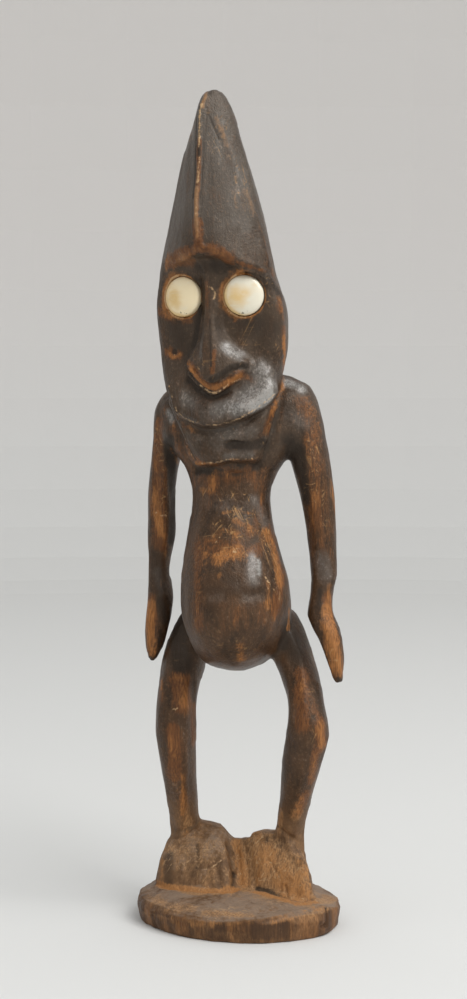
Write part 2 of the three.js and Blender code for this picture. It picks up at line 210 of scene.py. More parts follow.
class Skin:
    """The surface of a piece in millimetres, with the moves that carve it."""

    def __init__(self, piece):
        self.mesh = piece.data
        count = len(self.mesh.vertices)
        self.place = self.read(self.mesh.vertices, "co", np.empty((count, 3))) / MM
        ends = self.read(self.mesh.edges, "vertices", np.empty((len(self.mesh.edges), 2), int))
        self.ends = np.vstack((ends, ends[:, ::-1]))
        self.joins = np.bincount(self.ends[:, 0], minlength=count)
        self.settle()

    @staticmethod
    def read(items, name, empty):
        items.foreach_get(name, empty.ravel())
        return empty

    def settle(self):
        """Writes the places back to the mesh, and reads the new normals and the tree for sight lines."""
        self.mesh.vertices.foreach_set("co", (self.place * MM).ravel())
        self.mesh.update()
        self.normal = self.read(self.mesh.vertices, "normal", np.empty_like(self.place))
        faces = [polygon.vertices[:] for polygon in self.mesh.polygons]
        self.tree = BVHTree.FromPolygons((self.place * MM).tolist(), faces)

    def around(self, values):
        """The mean of the values at each vertex's neighbours."""
        columns = values.reshape(len(values), -1).T
        here, there = self.ends.T
        sums = [np.bincount(here, column[there], len(values)) for column in columns]
        return (np.array(sums) / self.joins).T.reshape(values.shape)

    def fair(self, rounds, amount):
        """Takes out facets without thinning: a round smooths, then swells by slightly more."""
        for step in (SMOOTHING, SWELLING) * rounds:
            self.place += step * amount[:, None] * (self.around(self.place) - self.place)

    def trace(self, pixels):
        """A smooth line through points of the picture, laid on the wood, as points in millimetres."""
        hits = [self.tree.ray_cast(eye_point, line_of_sight(p))[0] for p in smooth_line(pixels)]
        return np.array([hit / MM for hit in hits if hit is not None])

    def distance(self, line, reach):
        """How far each vertex is from a line, in millimetres, and infinity beyond the reach."""
        near = np.all((self.place > line.min(0) - reach) & (self.place < line.max(0) + reach), axis=1)
        spots = self.place[near]
        best = np.full(len(spots), np.inf)
        for start, end in zip(line, line[1:] if len(line) > 1 else line):
            along = end - start
            share = np.clip((spots - start) @ along / max(along @ along, 1e-9), 0, 1)
            best = np.minimum(best, np.linalg.norm(spots - start - share[:, None] * along, axis=1))
        far = np.full(len(self.place), np.inf)
        far[near] = best
        return far

    def brush(self, pixels, width):
        """A soft stroke along a line of the picture: 1 on the line, falling to 0 at the width."""
        line = self.trace(pixels)
        if len(line) == 0:
            return np.zeros(len(self.place))
        fade = np.clip(1 - (self.distance(line, width) / width) ** 2, 0, 1)
        return fade**2

    def raise_along(self, pixels, width, height):
        """Lifts the wood along a line, or cuts into it where the height is negative."""
        self.place += self.normal * (self.brush(pixels, width) * height)[:, None]


def smooth_line(pixels):
    """Points about every few pixels along a smooth curve through the ones given."""
    points = [Vector(p) for p in pixels]
    if len(points) == 1:
        return points
    ends = [points[0] * 2 - points[1], *points, points[-1] * 2 - points[-2]]
    line = []
    for before, start, end, after in zip(ends, ends[1:], ends[2:], ends[3:]):
        steps = max(1, round((end - start).length / LINE_SPACING))
        for k in range(steps):
            t = k / steps
            bend = (end - before) * t + (before * 2 - start * 5 + end * 4 - after) * t**2
            line.append(start + (bend + (start * 3 - before - end * 3 + after) * t**3) / 2)
    return line + [points[-1]]


skin = Skin(wood)
print("the skin has", len(skin.place), "points")

# %% [markdown]
# ## Fairing: facets out, planned edges kept
#
# The solid's facets have to go, and the edges that the carver meant have to stay. So every point is
# smoothed by an amount that depends on how near it is to one of those edges. Plain smoothing would
# also thin the wrists and the ankles, so each smoothing step is followed by a slightly larger swelling
# one, which gives back everything except the small ripples.

# %% Name the edges that stay crisp, and fair the rest
NOSE_RIM = [(189, 374), (200, 385), (210, 392), (217, 392), (228, 385), (241, 378), (249, 369)]
NOSE_LIP = [(187, 367), (197, 376), (208, 379), (217, 376), (231, 368), (238, 364), (247, 366)]
NOSE_LEFT = [(202, 318), (198, 342), (190, 360), (186, 366)]
MOUTH_ARC = [
    (167, 388), (171, 399), (175, 409), (182, 416), (194, 422), (210, 425), (225, 423),
    (238, 419), (251, 412), (264, 403), (275, 394), (281, 383),
]
JAW_RIGHT_SIDE = [(169, 386), (176, 409), (184, 433), (190, 451), (196, 462), (205, 470)]
JAW_LEFT_SIDE = [(280, 386), (277, 396), (272, 417), (268, 431), (262, 449), (259, 459), (253, 467)]
CHIN_LINE = [(196, 464), (205, 463), (217, 462), (230, 459), (244, 459), (258, 458)]
BROW_EDGE = [
    (171, 259), (181, 260), (192, 253), (199, 246), (208, 249), (217, 252), (225, 256), (238, 262),
    (252, 264), (265, 272), (274, 283),
]
CREST = [(206, 95), (202, 104), (200, 111), (199, 146), (198, 178), (196, 198), (196, 218), (198, 240)]
RIGHT_FOOT_SEAM = [(158, 884), (168, 888), (190, 890), (213, 892), (236, 890)]
LEFT_FOOT_SEAM = [(256, 889), (266, 891), (278, 895), (287, 898), (301, 901), (313, 899)]

edges_kept = {
    "nose rim": NOSE_RIM, "nose lip": NOSE_LIP, "nose side": NOSE_LEFT, "mouth": MOUTH_ARC,
    "jaw, right": JAW_RIGHT_SIDE, "jaw, left": JAW_LEFT_SIDE, "chin": CHIN_LINE, "crest": CREST,
    "right foot": RIGHT_FOOT_SEAM, "left foot": LEFT_FOOT_SEAM,
}
KEPT_REACH = 7.0  # mm
LEAST_SOFTNESS = 0.12
FAIRING_ROUNDS = 45

softness = np.ones(len(skin.place))
for line in edges_kept.values():
    distance = skin.distance(skin.trace(line), KEPT_REACH)
    softness = np.minimum(softness, np.clip(distance / KEPT_REACH, LEAST_SOFTNESS, 1))
skin.fair(FAIRING_ROUNDS, softness)
skin.settle()
print("faired, and", int((softness < 1).sum()), "points lie near an edge that was kept")

# %% [markdown]
# ## Tool marks all over
#
# A blade leaves small flat faces that meet at soft edges. To make them, seeds are strewn over the skin,
# and each point joins the seed that is nearest to it both in place and in direction, so that a patch
# never wraps round a corner. Then each patch is pressed part of the way onto its own mean plane. The
# patches stand taller than wide, because the blade worked with the grain. The feet and the base were
# left as hewn, and the rest was rubbed smoother, so the two get different shares of the pressing.

# %% Press the skin into the flat marks of a blade
PATCHES = 900
PATCH_SEED = 11
TURN_WEIGHT = 18.0  # mm of distance that a right angle between two directions counts for
GRAIN_STRETCH = 0.6
BODY_PRESS, FOOT_PRESS = 0.25, 0.8
DEEPEST_PRESS = 0.6  # mm
FEET_FADE, GROUND_FADE = 6.0, 1.5  # mm
BLENDING_ROUNDS, BLENDING = 2, 0.6
BLOCKS = 60  # the search for the nearest seed runs in this many parts, to spare memory


def near_ground(top, fade=FEET_FADE):
    """1 low down, and 0 above this height, with a fade between, for each point of the skin."""
    return np.clip((top - skin.place[:, 2]) / fade, 0, 1)


def off_ground():
    """0 on the underside and 1 a little above it, so that the figure still stands flat."""
    return np.clip(skin.place[:, 2] / GROUND_FADE, 0, 1)


def by_height(for_body, for_feet):
    """One value on the body and another on the feet and the base."""
    return for_body + (for_feet - for_body) * near_ground(FEET_TOP)


keys = np.hstack((skin.place * (1, 1, GRAIN_STRETCH), skin.normal * TURN_WEIGHT))
seeds = keys[np.random.default_rng(PATCH_SEED).choice(len(keys), PATCHES, replace=False)]
patch = np.concatenate([
    ((seeds**2).sum(1) - 2 * block @ seeds.T).argmin(1) for block in np.array_split(keys, BLOCKS)
])
members = np.bincount(patch, minlength=PATCHES)[:, None]
middles, directions = (
    np.array([np.bincount(patch, column, PATCHES) for column in values.T]).T / members
    for values in (skin.place, skin.normal)
)
directions /= np.linalg.norm(directions, axis=1)[:, None]
above = ((skin.place - middles[patch]) * directions[patch]).sum(1)
share = by_height(BODY_PRESS, FOOT_PRESS) * softness * off_ground()
skin.place -= directions[patch] * np.clip(above * share, -DEEPEST_PRESS, DEEPEST_PRESS)[:, None]
skin.fair(BLENDING_ROUNDS, softness * BLENDING)
skin.settle()
area = sum(polygon.area for polygon in wood.data.polygons) / MM**2
print("the blade left", PATCHES, "marks of about", round(area / PATCHES), "square millimetres")

# %% [markdown]
# ## The eye sockets
#
# Fairing has softened the two round sockets, and a socket for an inlay is cut clean so that the shell
# seats tightly. So they are cut again with round cutters. Their place and direction are read from the
# shells of the solid model: a disc is thinnest along its own axis, and its flat back is its seat.

# %% Find each shell's seat and direction, and cut its socket
SOCKET_GAP = 0.12  # mm, between the solid's shell and the wood around it
SEAT_GAP = 0.3  # mm, behind the shell
CUT_LENGTH = 14.0  # mm
CUT_SIDES = 72


class Seat:
    """Where a shell sits: the middle of its flat back, the way it looks, its radius and thickness."""

    def __init__(self, node):
        spots = np.array([v.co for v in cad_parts[node].data.vertices]) / MM
        middle = spots.mean(0)
        self.outwards = np.linalg.svd(spots - middle, full_matrices=False)[2][2]
        self.outwards *= -np.sign(self.outwards[1])
        depth = (spots - middle) @ self.outwards
        across = spots - middle - depth[:, None] * self.outwards
        self.radius = np.linalg.norm(across, axis=1).max()
        self.thickness = np.ptp(depth)
        self.middle = middle + depth.min() * self.outwards

    def matrix(self, forward=0.0):
        """Turns +Z to the way the shell looks, and moves to a point that far in front of the seat."""
        turn = Vector(self.outwards).to_track_quat("Z", "Y").to_matrix().to_4x4()
        return Matrix.Translation(Vector(self.middle + forward * self.outwards) * MM) @ turn


seats = {name: Seat(f"{name}_eye_shell") for name in ("right", "left")}
for name, seat in seats.items():
    bpy.ops.object.select_all(action="DESELECT")
    radius = (seat.radius + SOCKET_GAP) * MM
    bpy.ops.mesh.primitive_cylinder_add(vertices=CUT_SIDES, radius=radius, depth=CUT_LENGTH * MM)
    cutter = bpy.context.object
    cutter.matrix_world = seat.matrix(CUT_LENGTH / 2 - SEAT_GAP)
    apply_modifier(wood, "BOOLEAN", operation="DIFFERENCE", object=cutter, solver="EXACT")
    bpy.data.objects.remove(cutter)
    print(name, "shell is", round(seat.radius * 2, 1), "mm wide and", round(seat.thickness, 1), "mm thick")

# %% [markdown]
# ## The relief of the face
#
# Each line of the carving is one stroke: its points in the picture, how far it reaches on each side
# and how high or deep it goes. A planned edge is lifted a little along its line and cut in beside it,
# which is what a knife leaves when it works up to an edge from one side. The strokes near the eyes
# also push the walls of the sockets out of round, and a lip of wood has to stand close round each
# shell. So the points of each wall are found before the strokes, and are moved back onto their circle
# after them.

# %% List the strokes of the head
skin = Skin(wood)  # read again, because the cutters have changed the mesh


def beside(line, right, down):
    """The same line, moved this many pixels in the picture."""
    return [(x + right, y + down) for x, y in line]


head_strokes = {
    "crest": (CREST, 1.7, 0.8),
    "flat to the right of the crest": (beside(CREST, 9, 4), 5, -0.5),
    "flat to the left of the crest": (beside(CREST[2:], -8, 4), 4, -0.35),
    "cut beside the crest": ([(207, 108), (205, 130), (203, 170), (200, 205)], 1.2, -0.35),
    "edge of the right crown": ([(222, 126), (238, 172), (256, 222), (268, 262)], 3.4, 0.5),
    "hollow beside that edge": ([(228, 126), (244, 172), (262, 222)], 2.6, -0.3),
    "edge of the left crown": ([(184, 155), (176, 195), (168, 236)], 2.4, 0.35),
    "tip of the crown": ([(213, 92), (216, 92)], 3, 1.0),
    "cracks at the tip": ([(207, 113), (212, 124), (219, 139)], 0.9, -0.3),
    "brow edge": (BROW_EDGE, 2.6, 0.35),
    "rim over the left eye": ([(239, 273), (246, 271), (253, 273)], 1.8, 0.8),
    "slope under the brow": ([(178, 272), (195, 264), (212, 264), (235, 272), (258, 276)], 6.5, -1.5),
    "middle of the brow slope": ([(204, 262), (216, 262)], 5, -0.8),
    "breadth of the bridge": ([(218, 280), (219, 306)], 4.5, 0.9),
    "left side of the bridge": ([(201, 280), (201, 300), (200, 322)], 1.6, -0.9),
    "front edge of the bridge": ([(206, 275), (206, 300), (205, 330), (203, 350)], 1.8, 0.5),
    "right side of the bridge": ([(228, 278), (229, 298), (232, 318)], 2.4, -0.6),
    "plane of the left nostril": ([(197, 352), (200, 366)], 4, -0.6),
    "slope beside the nose": ([(246, 346), (254, 358), (258, 364)], 5, 0.9),
    "side of the nose": (NOSE_LEFT, 1.6, 0.5),
    "lip of the nose": (NOSE_LIP[:4], 1.8, 0.7),
    "scoop under the nose": ([(193, 371), (200, 379), (209, 386), (218, 385), (228, 379)], 3.0, -1.6),
    "deep end of the scoop": ([(222, 379), (232, 372), (243, 367)], 3.4, -2.0),
    "rim of the nose": (NOSE_RIM[:5], 1.5, 1.0),
    "shade under the rim": (beside(NOSE_RIM[:5], 0, 6), 2.8, -0.6),
    "muzzle": ([(206, 412), (228, 410)], 13, 3.0),
    "right end of the muzzle": ([(246, 409), (260, 401), (270, 391)], 8.5, 4.2),
    "hollow of the cheek": ([(254, 354), (262, 357), (274, 362)], 9, -1.7),
    "mouth edge": (MOUTH_ARC, 1.8, 0.5),
    "cut under the mouth edge": (beside(MOUTH_ARC, 0, 6), 3.2, -1.3),
    "deeper cut at its right end": ([(250, 419), (263, 411), (273, 402)], 3.6, -1.6),
    "right side of the jaw": (JAW_RIGHT_SIDE, 1.8, 0.7),
    "bevel outside that side": (beside(JAW_RIGHT_SIDE, -5, 1), 2.4, -0.6),
    "left side of the jaw": (JAW_LEFT_SIDE, 1.8, 0.7),
    "bevel outside the left side": (beside(JAW_LEFT_SIDE, 5, 1), 2.4, -0.5),
    "hollow of the mouth": ([(236, 446), (246, 446), (260, 442)], 6, -1.0),
    "lower lip": ([(233, 454), (244, 456), (256, 453)], 2.6, 0.4),
    "chin edge": (CHIN_LINE, 1.6, 0.7),
    "bevel under the chin": (beside(CHIN_LINE, 0, 7), 4, -1.8),
    "knot on the cheek": ([(174, 352)], 3.0, -0.8),
    "swelling round the knot": ([(169, 357), (174, 359), (180, 355)], 2.4, 0.4),
    "scar between the eyes": ([(213, 287), (215, 292), (214, 299)], 0.9, -0.5),
}
print("the head has", len(head_strokes), "strokes")

# %% Carve them, and a lip round each socket
LIP_HEIGHT, LIP_INWARDS, LIP_REACH = 0.6, 0.3, 1.6  # mm
WALL_BAND = 0.3  # mm: points this near to a socket's circle are its wall
BEHIND_SEAT = 0.1  # mm: rings reach this far behind the socket's floor


def about(seat):
    """Each point's depth in front of a seat, its offset from the socket's axis, and that offset's length."""
    offset = skin.place - seat.middle
    depth = offset @ seat.outwards
    aside = offset - depth[:, None] * seat.outwards
    return depth, aside, np.linalg.norm(aside, axis=1)


def ring_round(seat, away, reach):
    """1 on the circle this far outside a shell's edge, falling to 0 at the reach, in front of the seat."""
    depth, _, across = about(seat)
    return np.clip(1 - np.abs(across - seat.radius - away) / reach, 0, 1) * (depth > -SEAT_GAP - BEHIND_SEAT)


socket_walls = {}
for name, seat in seats.items():
    depth, _, across = about(seat)
    socket_walls[name] = (np.abs(across - seat.radius - SOCKET_GAP) < WALL_BAND) & (depth > -SEAT_GAP)

for line, width, height in head_strokes.values():
    skin.raise_along(line, width, height)

for name, seat in seats.items():
    lip = ring_round(seat, SOCKET_GAP + LIP_REACH / 2, LIP_REACH)
    _, aside, across = about(seat)
    inwards = -aside / across[:, None]
    skin.place += lip[:, None] * (seat.outwards * LIP_HEIGHT + inwards * LIP_INWARDS)
    _, aside, across = about(seat)
    out_of_round = (across - seat.radius - SOCKET_GAP) * socket_walls[name]
    skin.place -= aside * (out_of_round / across)[:, None]
    print("trued up", int(socket_walls[name].sum()), "points of the", name, "socket's wall")
skin.settle()

# %% [markdown]
# ## The relief of the body, the feet and the base
#
# The body is smoother than the head. Its limbs are not round: knife cuts left one soft edge down the
# front of each, with a flat on either side. The feet are blocks with a few cuts for toes, and the
# base keeps a crack, a chip, a flake and a soft upper edge. The same strokes make them all, so they
# are two more tables.

# %% Carve the body
RIGHT_ARM_EDGE = [(163, 425), (164, 470), (165, 520), (162, 545)]
LEFT_ARM_EDGE = [(306, 430), (311, 470), (316, 520), (320, 550)]
RIGHT_LEG_EDGE = [(189, 640), (186, 690), (184, 740), (184, 790), (183, 825)]
LEFT_THIGH_EDGE = [(289, 634), (300, 655), (304, 680), (304, 706), (300, 730)]
BASE_EDGE = [
    (146, 907), (154, 913), (173, 917), (195, 921), (228, 923), (257, 920), (279, 916), (301, 910),
    (324, 905),
]

body_strokes = {
    "front edge of the right arm": (RIGHT_ARM_EDGE, 4, 0.5),
    "flat inside the right arm": (beside(RIGHT_ARM_EDGE, 8, 4), 4, -0.4),
    "cut at the right wrist": ([(151, 558), (160, 551), (166, 548)], 1.8, -0.5),
    "front edge of the left arm": (LEFT_ARM_EDGE, 4, 0.5),
    "flat inside the left arm": (beside(LEFT_ARM_EDGE, -7, 6), 4, -0.4),
    "swelling of the belly": ([(252, 560), (253, 578)], 9, 0.9),
    "crease across the belly": ([(205, 596), (235, 598), (262, 594)], 5, -0.4),
    "front edge of the right leg": (RIGHT_LEG_EDGE, 3.4, 0.7),
    "flat inside the right leg": (beside(RIGHT_LEG_EDGE[1:], 8, 4), 4, -0.45),
    "flat outside the right leg": (beside(RIGHT_LEG_EDGE[:4], -12, 10), 5, -0.45),
    "front edge of the left thigh": (LEFT_THIGH_EDGE, 3.2, 0.8),
    "flat inside the left thigh": (beside(LEFT_THIGH_EDGE, -9, 10), 4.5, -0.5),
    "edge of the left shin": ([(306, 745), (301, 780), (293, 812)], 3.4, 0.45),
    "left knee": ([(317, 728)], 8, 0.5),
    "seam at the right ankle": ([(173, 838), (182, 836), (188, 830), (196, 825)], 1.8, -0.8),
    "seam at the left ankle": ([(277, 826), (284, 832), (293, 838), (300, 842)], 1.8, -0.8),
}
foot_strokes = {
    "seam of the right foot": (RIGHT_FOOT_SEAM, 1.8, -0.9),
    "seam of the left foot": (LEFT_FOOT_SEAM, 1.8, -0.9),
    "outer groove of the right foot": ([(184, 846), (185, 858), (187, 869)], 2.2, -0.45),
    "inner groove of the right foot": ([(197, 845), (198, 858), (197, 867)], 2.2, -0.45),
    "cut across the right foot": ([(195, 868), (212, 867), (225, 858)], 1.4, -0.4),
    "cut between the toes": ([(214, 862), (219, 878), (224, 893)], 3.6, -0.7),
    "gap beside the big toe": ([(228, 846), (231, 858), (234, 878), (233, 895)], 3.4, -1.1),
    "web between the feet": ([(243, 846), (244, 862), (244, 880)], 4, 0.9),
    "nick between the feet": ([(238, 852), (241, 857)], 1.2, -0.9),
    "inner edge of the left foot": ([(248, 840), (250, 862), (252, 886)], 2.2, 0.7),
    "ridge of the left foot": ([(258, 830), (264, 846), (263, 866), (259, 884)], 3, 0.6),
    "cut down the left foot": ([(266, 858), (274, 868), (280, 880), (281, 892)], 1.2, -0.7),
    "notch of the left foot": ([(285, 886), (288, 898)], 1.6, -1.2),
    "shoulder of the left foot": ([(288, 846), (302, 862), (311, 878)], 4, 0.6),
    "flat on the left foot": ([(290, 866), (300, 882)], 5, -0.6),
    "edge of the base": (BASE_EDGE, 2.0, 0.5),
    "flat above that edge": (beside(BASE_EDGE[2:8], 0, -7), 4, -0.5),
    "crack in the base": ([(325, 907), (327, 915), (327, 925)], 1.2, -0.9),
    "chip at the crack": ([(322, 927), (326, 925)], 2.0, -1.3),
    "flake on the base": ([(272, 908), (283, 910)], 1.3, -0.5),
}
for line, width, height in [*body_strokes.values(), *foot_strokes.values()]:
    skin.raise_along(line, width, height)
skin.settle()
print("cut", len(body_strokes), "strokes into the body and", len(foot_strokes), "into the feet and base")

# %% Rub the high places smooth
RUBBING_ROUNDS = 16
rubbed_smooth = {
    "nose and cheek": ([(228, 332), (244, 350), (262, 366)], 8),
    "muzzle": ([(222, 405), (250, 398), (264, 386)], 7),
    "high place of the belly": ([(252, 556), (250, 584)], 11),
    "underside of the belly": ([(200, 640), (222, 660), (250, 664), (276, 648)], 13),
    "crown": ([(226, 140), (240, 190), (250, 240)], 12),
}
hand = sum(skin.brush(line, width) for line, width in rubbed_smooth.values())
skin.fair(RUBBING_ROUNDS, np.clip(hand, 0, 1))
skin.settle()
print("rubbed", len(rubbed_smooth), "places smooth")

# %% [markdown]
# ## Small unevenness
#
# The strokes above are all smooth, and a worn carving is not. A soft noise lifts and lowers the skin by
# a few tenths of a millimetre, more on the feet and the base than on the rubbed body. The sharp edges
# get a second, finer noise, because that is where old wood chips.

# %% Chip the edges
CHIP_CELL = 1.9  # mm
CHIP_DEPTH = 0.55  # mm
CHIP_REACH = 1.9  # mm to each side of an edge

chipped = [*edges_kept.values(), BROW_EDGE, BASE_EDGE]
near_edges = sum(skin.brush(line, CHIP_REACH) for line in chipped)
chips = np.array([noise.noise(Vector(spot)) for spot in skin.place / CHIP_CELL])
skin.place += skin.normal * (np.clip(near_edges, 0, 1) * chips * CHIP_DEPTH)[:, None]
print("the edges are chipped by up to", CHIP_DEPTH, "mm")

# %% Ripple the skin
WAVE_WIDE, WAVE_TALL = 5.0, 11.0  # mm
BODY_WAVE, FOOT_WAVE = 0.18, 0.5  # mm

cells = (Vector(spot) for spot in skin.place / (WAVE_WIDE, WAVE_WIDE, WAVE_TALL))
waves = np.array([noise.noise(cell) for cell in cells])
ripples = waves * by_height(BODY_WAVE, FOOT_WAVE) * off_ground()
skin.place += skin.normal * ripples[:, None]
skin.settle()
print("the ripples stay within", round(float(np.abs(ripples).max()), 2), "mm")

# %% [markdown]
# ## Where the wood is worn, raw or sooty, and where shade is painted
#
# The finish changes from place to place, so it is painted on the skin as marks, which are attributes
# that a material can read. A painted image could carry the same patches, but it would need an unwrap
# and a file, and these need neither. Wear on edges is found from the shape: a point that stands above
# a smoothed copy of the skin is worn, and a point below it gets soot and painted shade.

# %% Find the edges and the hollows from the shape
SMOOTHING_ROUNDS = 14
FULL_WEAR = 0.45  # mm above the smoothed skin
COVERED = 0.3  # the strength from which a mark counts as covering a point


def keep_mark(piece, name, *fields):
    """Keeps the strongest of these fields on a piece, as a mark for its finish to read."""
    field = np.maximum.reduce(fields)
    attribute = piece.data.attributes.new(name, "FLOAT", "POINT")
    attribute.data.foreach_set("value", field.astype(np.float32))
    print(name, "covers", round(100 * (field > COVERED).mean(), 1), "% of", piece.name)


smoothed = skin.place.copy()
for _ in range(SMOOTHING_ROUNDS):
    smoothed += SMOOTHING * (skin.around(smoothed) - smoothed)
stands_out = ((skin.place - smoothed) * skin.normal).sum(1) / FULL_WEAR
keep_mark(wood, "edge", np.clip(stands_out, 0, 1))
# The hollows later darken the colour, as dirt and as painted shade.
keep_mark(wood, "hollow", np.clip(-stands_out, 0, 1))

# %% Find the side of the base, and what dust can settle on
BASE_TOP, BASE_FADE = 19.0, 3.0  # mm
DUST_FADE = 12.0  # mm

upwards = skin.normal[:, 2]
keep_mark(wood, "side", near_ground(BASE_TOP, BASE_FADE) * (1 - np.abs(upwards)))
keep_mark(wood, "dusty", np.clip(upwards, 0, 1) * near_ground(FEET_TOP, DUST_FADE))

# %% [markdown]
# ## Rings round the eyes, and the back
#
# The rims of the sockets are paler and more golden than the wood around them, most of all towards the
# left of the picture. Inside each socket a dark line is painted round the shell as the shadow in the
# gap, deepest on its shaded side. These rings follow the socket's own circle, which a row of strokes
# could only come near to. No line of sight reaches the back, so it gets an even share of warmth, wear
# and scratches, quieter than in front.

# %% Measure the rings and the back
RIM_AWAY, RIM_REACH = 0.5, 1.6  # mm outwards from the socket's edge, and to each side of that
RING_AWAY, RING_REACH = 2.0, 3.4  # mm, for the wider ring of rubbed wood
# A dark ring is painted inside each socket as the shadow in its gap, deepest on the shaded side.
SHADOW_AWAY, SHADOW_REACH = -3.0, 4.2  # mm, the first from the shell's edge, and so inwards
SHADOW_SIDE = {"right": (-0.7, 0.7), "left": (0.8, -0.6)}  # where it is deepest: right and up in the picture
SHADOW_STRENGTH, RIM_STRENGTH, RIM_PALENESS = 3, 1.5, 1.1
BACK_WARMTH, BACK_WEAR, BACK_SCRATCHES = 0.33, 0.24, 0.25
BACK_SHARPNESS = 1.5

rims, rings, painted_gap_shadow = np.zeros((3, len(skin.place)))
for name, seat in seats.items():
    offset = (skin.place - seat.middle) / seat.radius
    right, up = (offset @ np.array(axis) for axis in (picture_right, picture_up))
    shadow_side = right * SHADOW_SIDE[name][0] + up * SHADOW_SIDE[name][1]
    # painted shadow in the gap round the shell, strongest on its shaded side
    painted_gap_shadow += ring_round(seat, SHADOW_AWAY, SHADOW_REACH) * np.clip(0.5 + 1.2 * shadow_side, 0.25, 1)
    golden = np.clip(0.5 - 0.5 * right, 0.2, 1)
    rings += ring_round(seat, SOCKET_GAP + RING_AWAY, RING_REACH) * golden
    rims += ring_round(seat, SOCKET_GAP + RIM_AWAY, RIM_REACH) * np.clip(golden * 1.4 + 0.25, 0, 1.1)
behind = np.clip(-BACK_SHARPNESS * (skin.normal @ np.array(picture_back)), 0, 1)
print("the back is", round(100 * (behind > COVERED).mean()), "% of the skin")

# %% [markdown]
# ## The patches that make this one figure
#
# The other marks are strokes, as the relief is. Each table goes down the figure from its crown to its
# base, and each stroke is its points in the picture, its reach in millimetres and its strength. Where
# strokes of a table meet, the stronger one counts, so they can overlap without a seam.
#
# Warm wood comes first: the dark skin has worn thin there, and red-brown wood shows through it.

# %% Paint the warm wood
def painted(strokes):
    """The strongest of these strokes at each point of the skin."""
    field = np.zeros(len(skin.place))
    for line, width, strength in strokes:
        field = np.maximum(field, skin.brush(line, width) * strength)
    return field


warm_strokes = [
    # crown and crest
    ([(199, 140), (198, 190)], 3, 0.8), ([(196, 190), (196, 215)], 3, 0.9),
    ([(197, 222), (198, 246)], 6, 1.1),
    # brow and eyes
    ([(178, 258), (196, 250), (212, 250), (228, 260)], 7, 1.0), ([(168, 262), (192, 262)], 7, 0.8),
    ([(236, 262), (266, 272)], 2.4, 0.7), ([(226, 268), (240, 272)], 4, 0.6),
    ([(168, 285), (164, 305)], 5, 0.7), ([(206, 280), (206, 305)], 4, 0.4),
    ([(232, 300), (236, 320)], 4, 0.5), ([(268, 262), (276, 285), (282, 310)], 5, 0.5),
    # nose and cheeks
    ([(160, 312), (176, 322), (190, 320)], 4, 0.7), ([(214, 352), (212, 372)], 3, 0.6),
    ([(284, 330), (284, 370), (276, 400), (266, 430)], 6, 0.6), ([(169, 352), (179, 354)], 6, 0.9),
    ([(262, 352), (284, 352)], 4, 0.25), ([(190, 366), (205, 384), (222, 386), (240, 376)], 5, 0.9),
    ([(238, 372), (252, 380), (256, 388)], 5, 0.6),
    # muzzle, jaw and collar
    ([(180, 420), (205, 432)], 8, 0.3), ([(176, 420), (192, 455), (200, 462)], 5, 0.5),
    ([(166, 410), (180, 450), (196, 480)], 9, 0.45),
    # shoulders and arms
    ([(282, 410), (300, 420)], 10, 0.4), ([(160, 425), (157, 480), (160, 545)], 10, 0.7),
    ([(303, 405), (314, 450), (318, 520), (326, 550)], 13, 0.52), ([(152, 600), (151, 652)], 8, 0.75),
    ([(328, 600), (333, 640), (340, 672)], 9, 0.8),
    # chest and belly
    ([(206, 470), (230, 474), (250, 470)], 12, 0.55), ([(214, 480), (214, 505)], 10, 0.6),
    ([(262, 470), (262, 505), (250, 530)], 9, 0.5), ([(200, 545), (226, 552), (254, 550)], 12, 0.6),
    ([(198, 550), (198, 625)], 7, 0.7), ([(270, 530), (280, 570), (276, 608)], 9, 0.7),
    ([(210, 618), (240, 624), (262, 615)], 20, 0.22),
    # legs
    ([(180, 681), (184, 702)], 11, 1.15), ([(172, 730), (175, 752), (174, 774)], 7, 1.0),
    ([(184, 800), (188, 826)], 6, 0.7), ([(193, 706), (194, 742)], 5, 0.7),
    ([(163, 650), (160, 700)], 5, 0.6), ([(301, 674), (303, 724)], 9, 0.85),
    ([(320, 722), (322, 746)], 7, 1.1), ([(316, 752), (311, 780)], 5, 0.9),
    ([(303, 796), (296, 816)], 7, 0.7), ([(281, 812), (279, 832)], 4, 1.0),
    ([(308, 700), (316, 715)], 8, 0.5),
    # feet
    ([(180, 840), (200, 860), (228, 880)], 30, 0.4), ([(255, 850), (285, 880)], 30, 0.85),
    ([(238, 845), (244, 870), (246, 890)], 8, 0.9), ([(165, 888), (200, 893), (236, 892)], 6, 0.9),
    ([(256, 888), (290, 897), (314, 898)], 7, 0.8),
    # base
    ([(152, 897), (166, 906), (190, 908)], 9, 0.6), ([(306, 904), (330, 898)], 9, 0.6),
    ([(205, 912), (250, 916)], 6, 0.5),
    ([(144, 915), (190, 930), (240, 934), (290, 928), (326, 912)], 8, 0.75),
]
keep_mark(wood, "warm", painted(warm_strokes), behind * BACK_WARMTH)

# %% [markdown]
# Hands and knocks have rubbed some places down to bare, orange wood: the long edges of the crown and
# the jaw, the rim of the nose, the top and side of the belly, the hands, the knees and the feet.

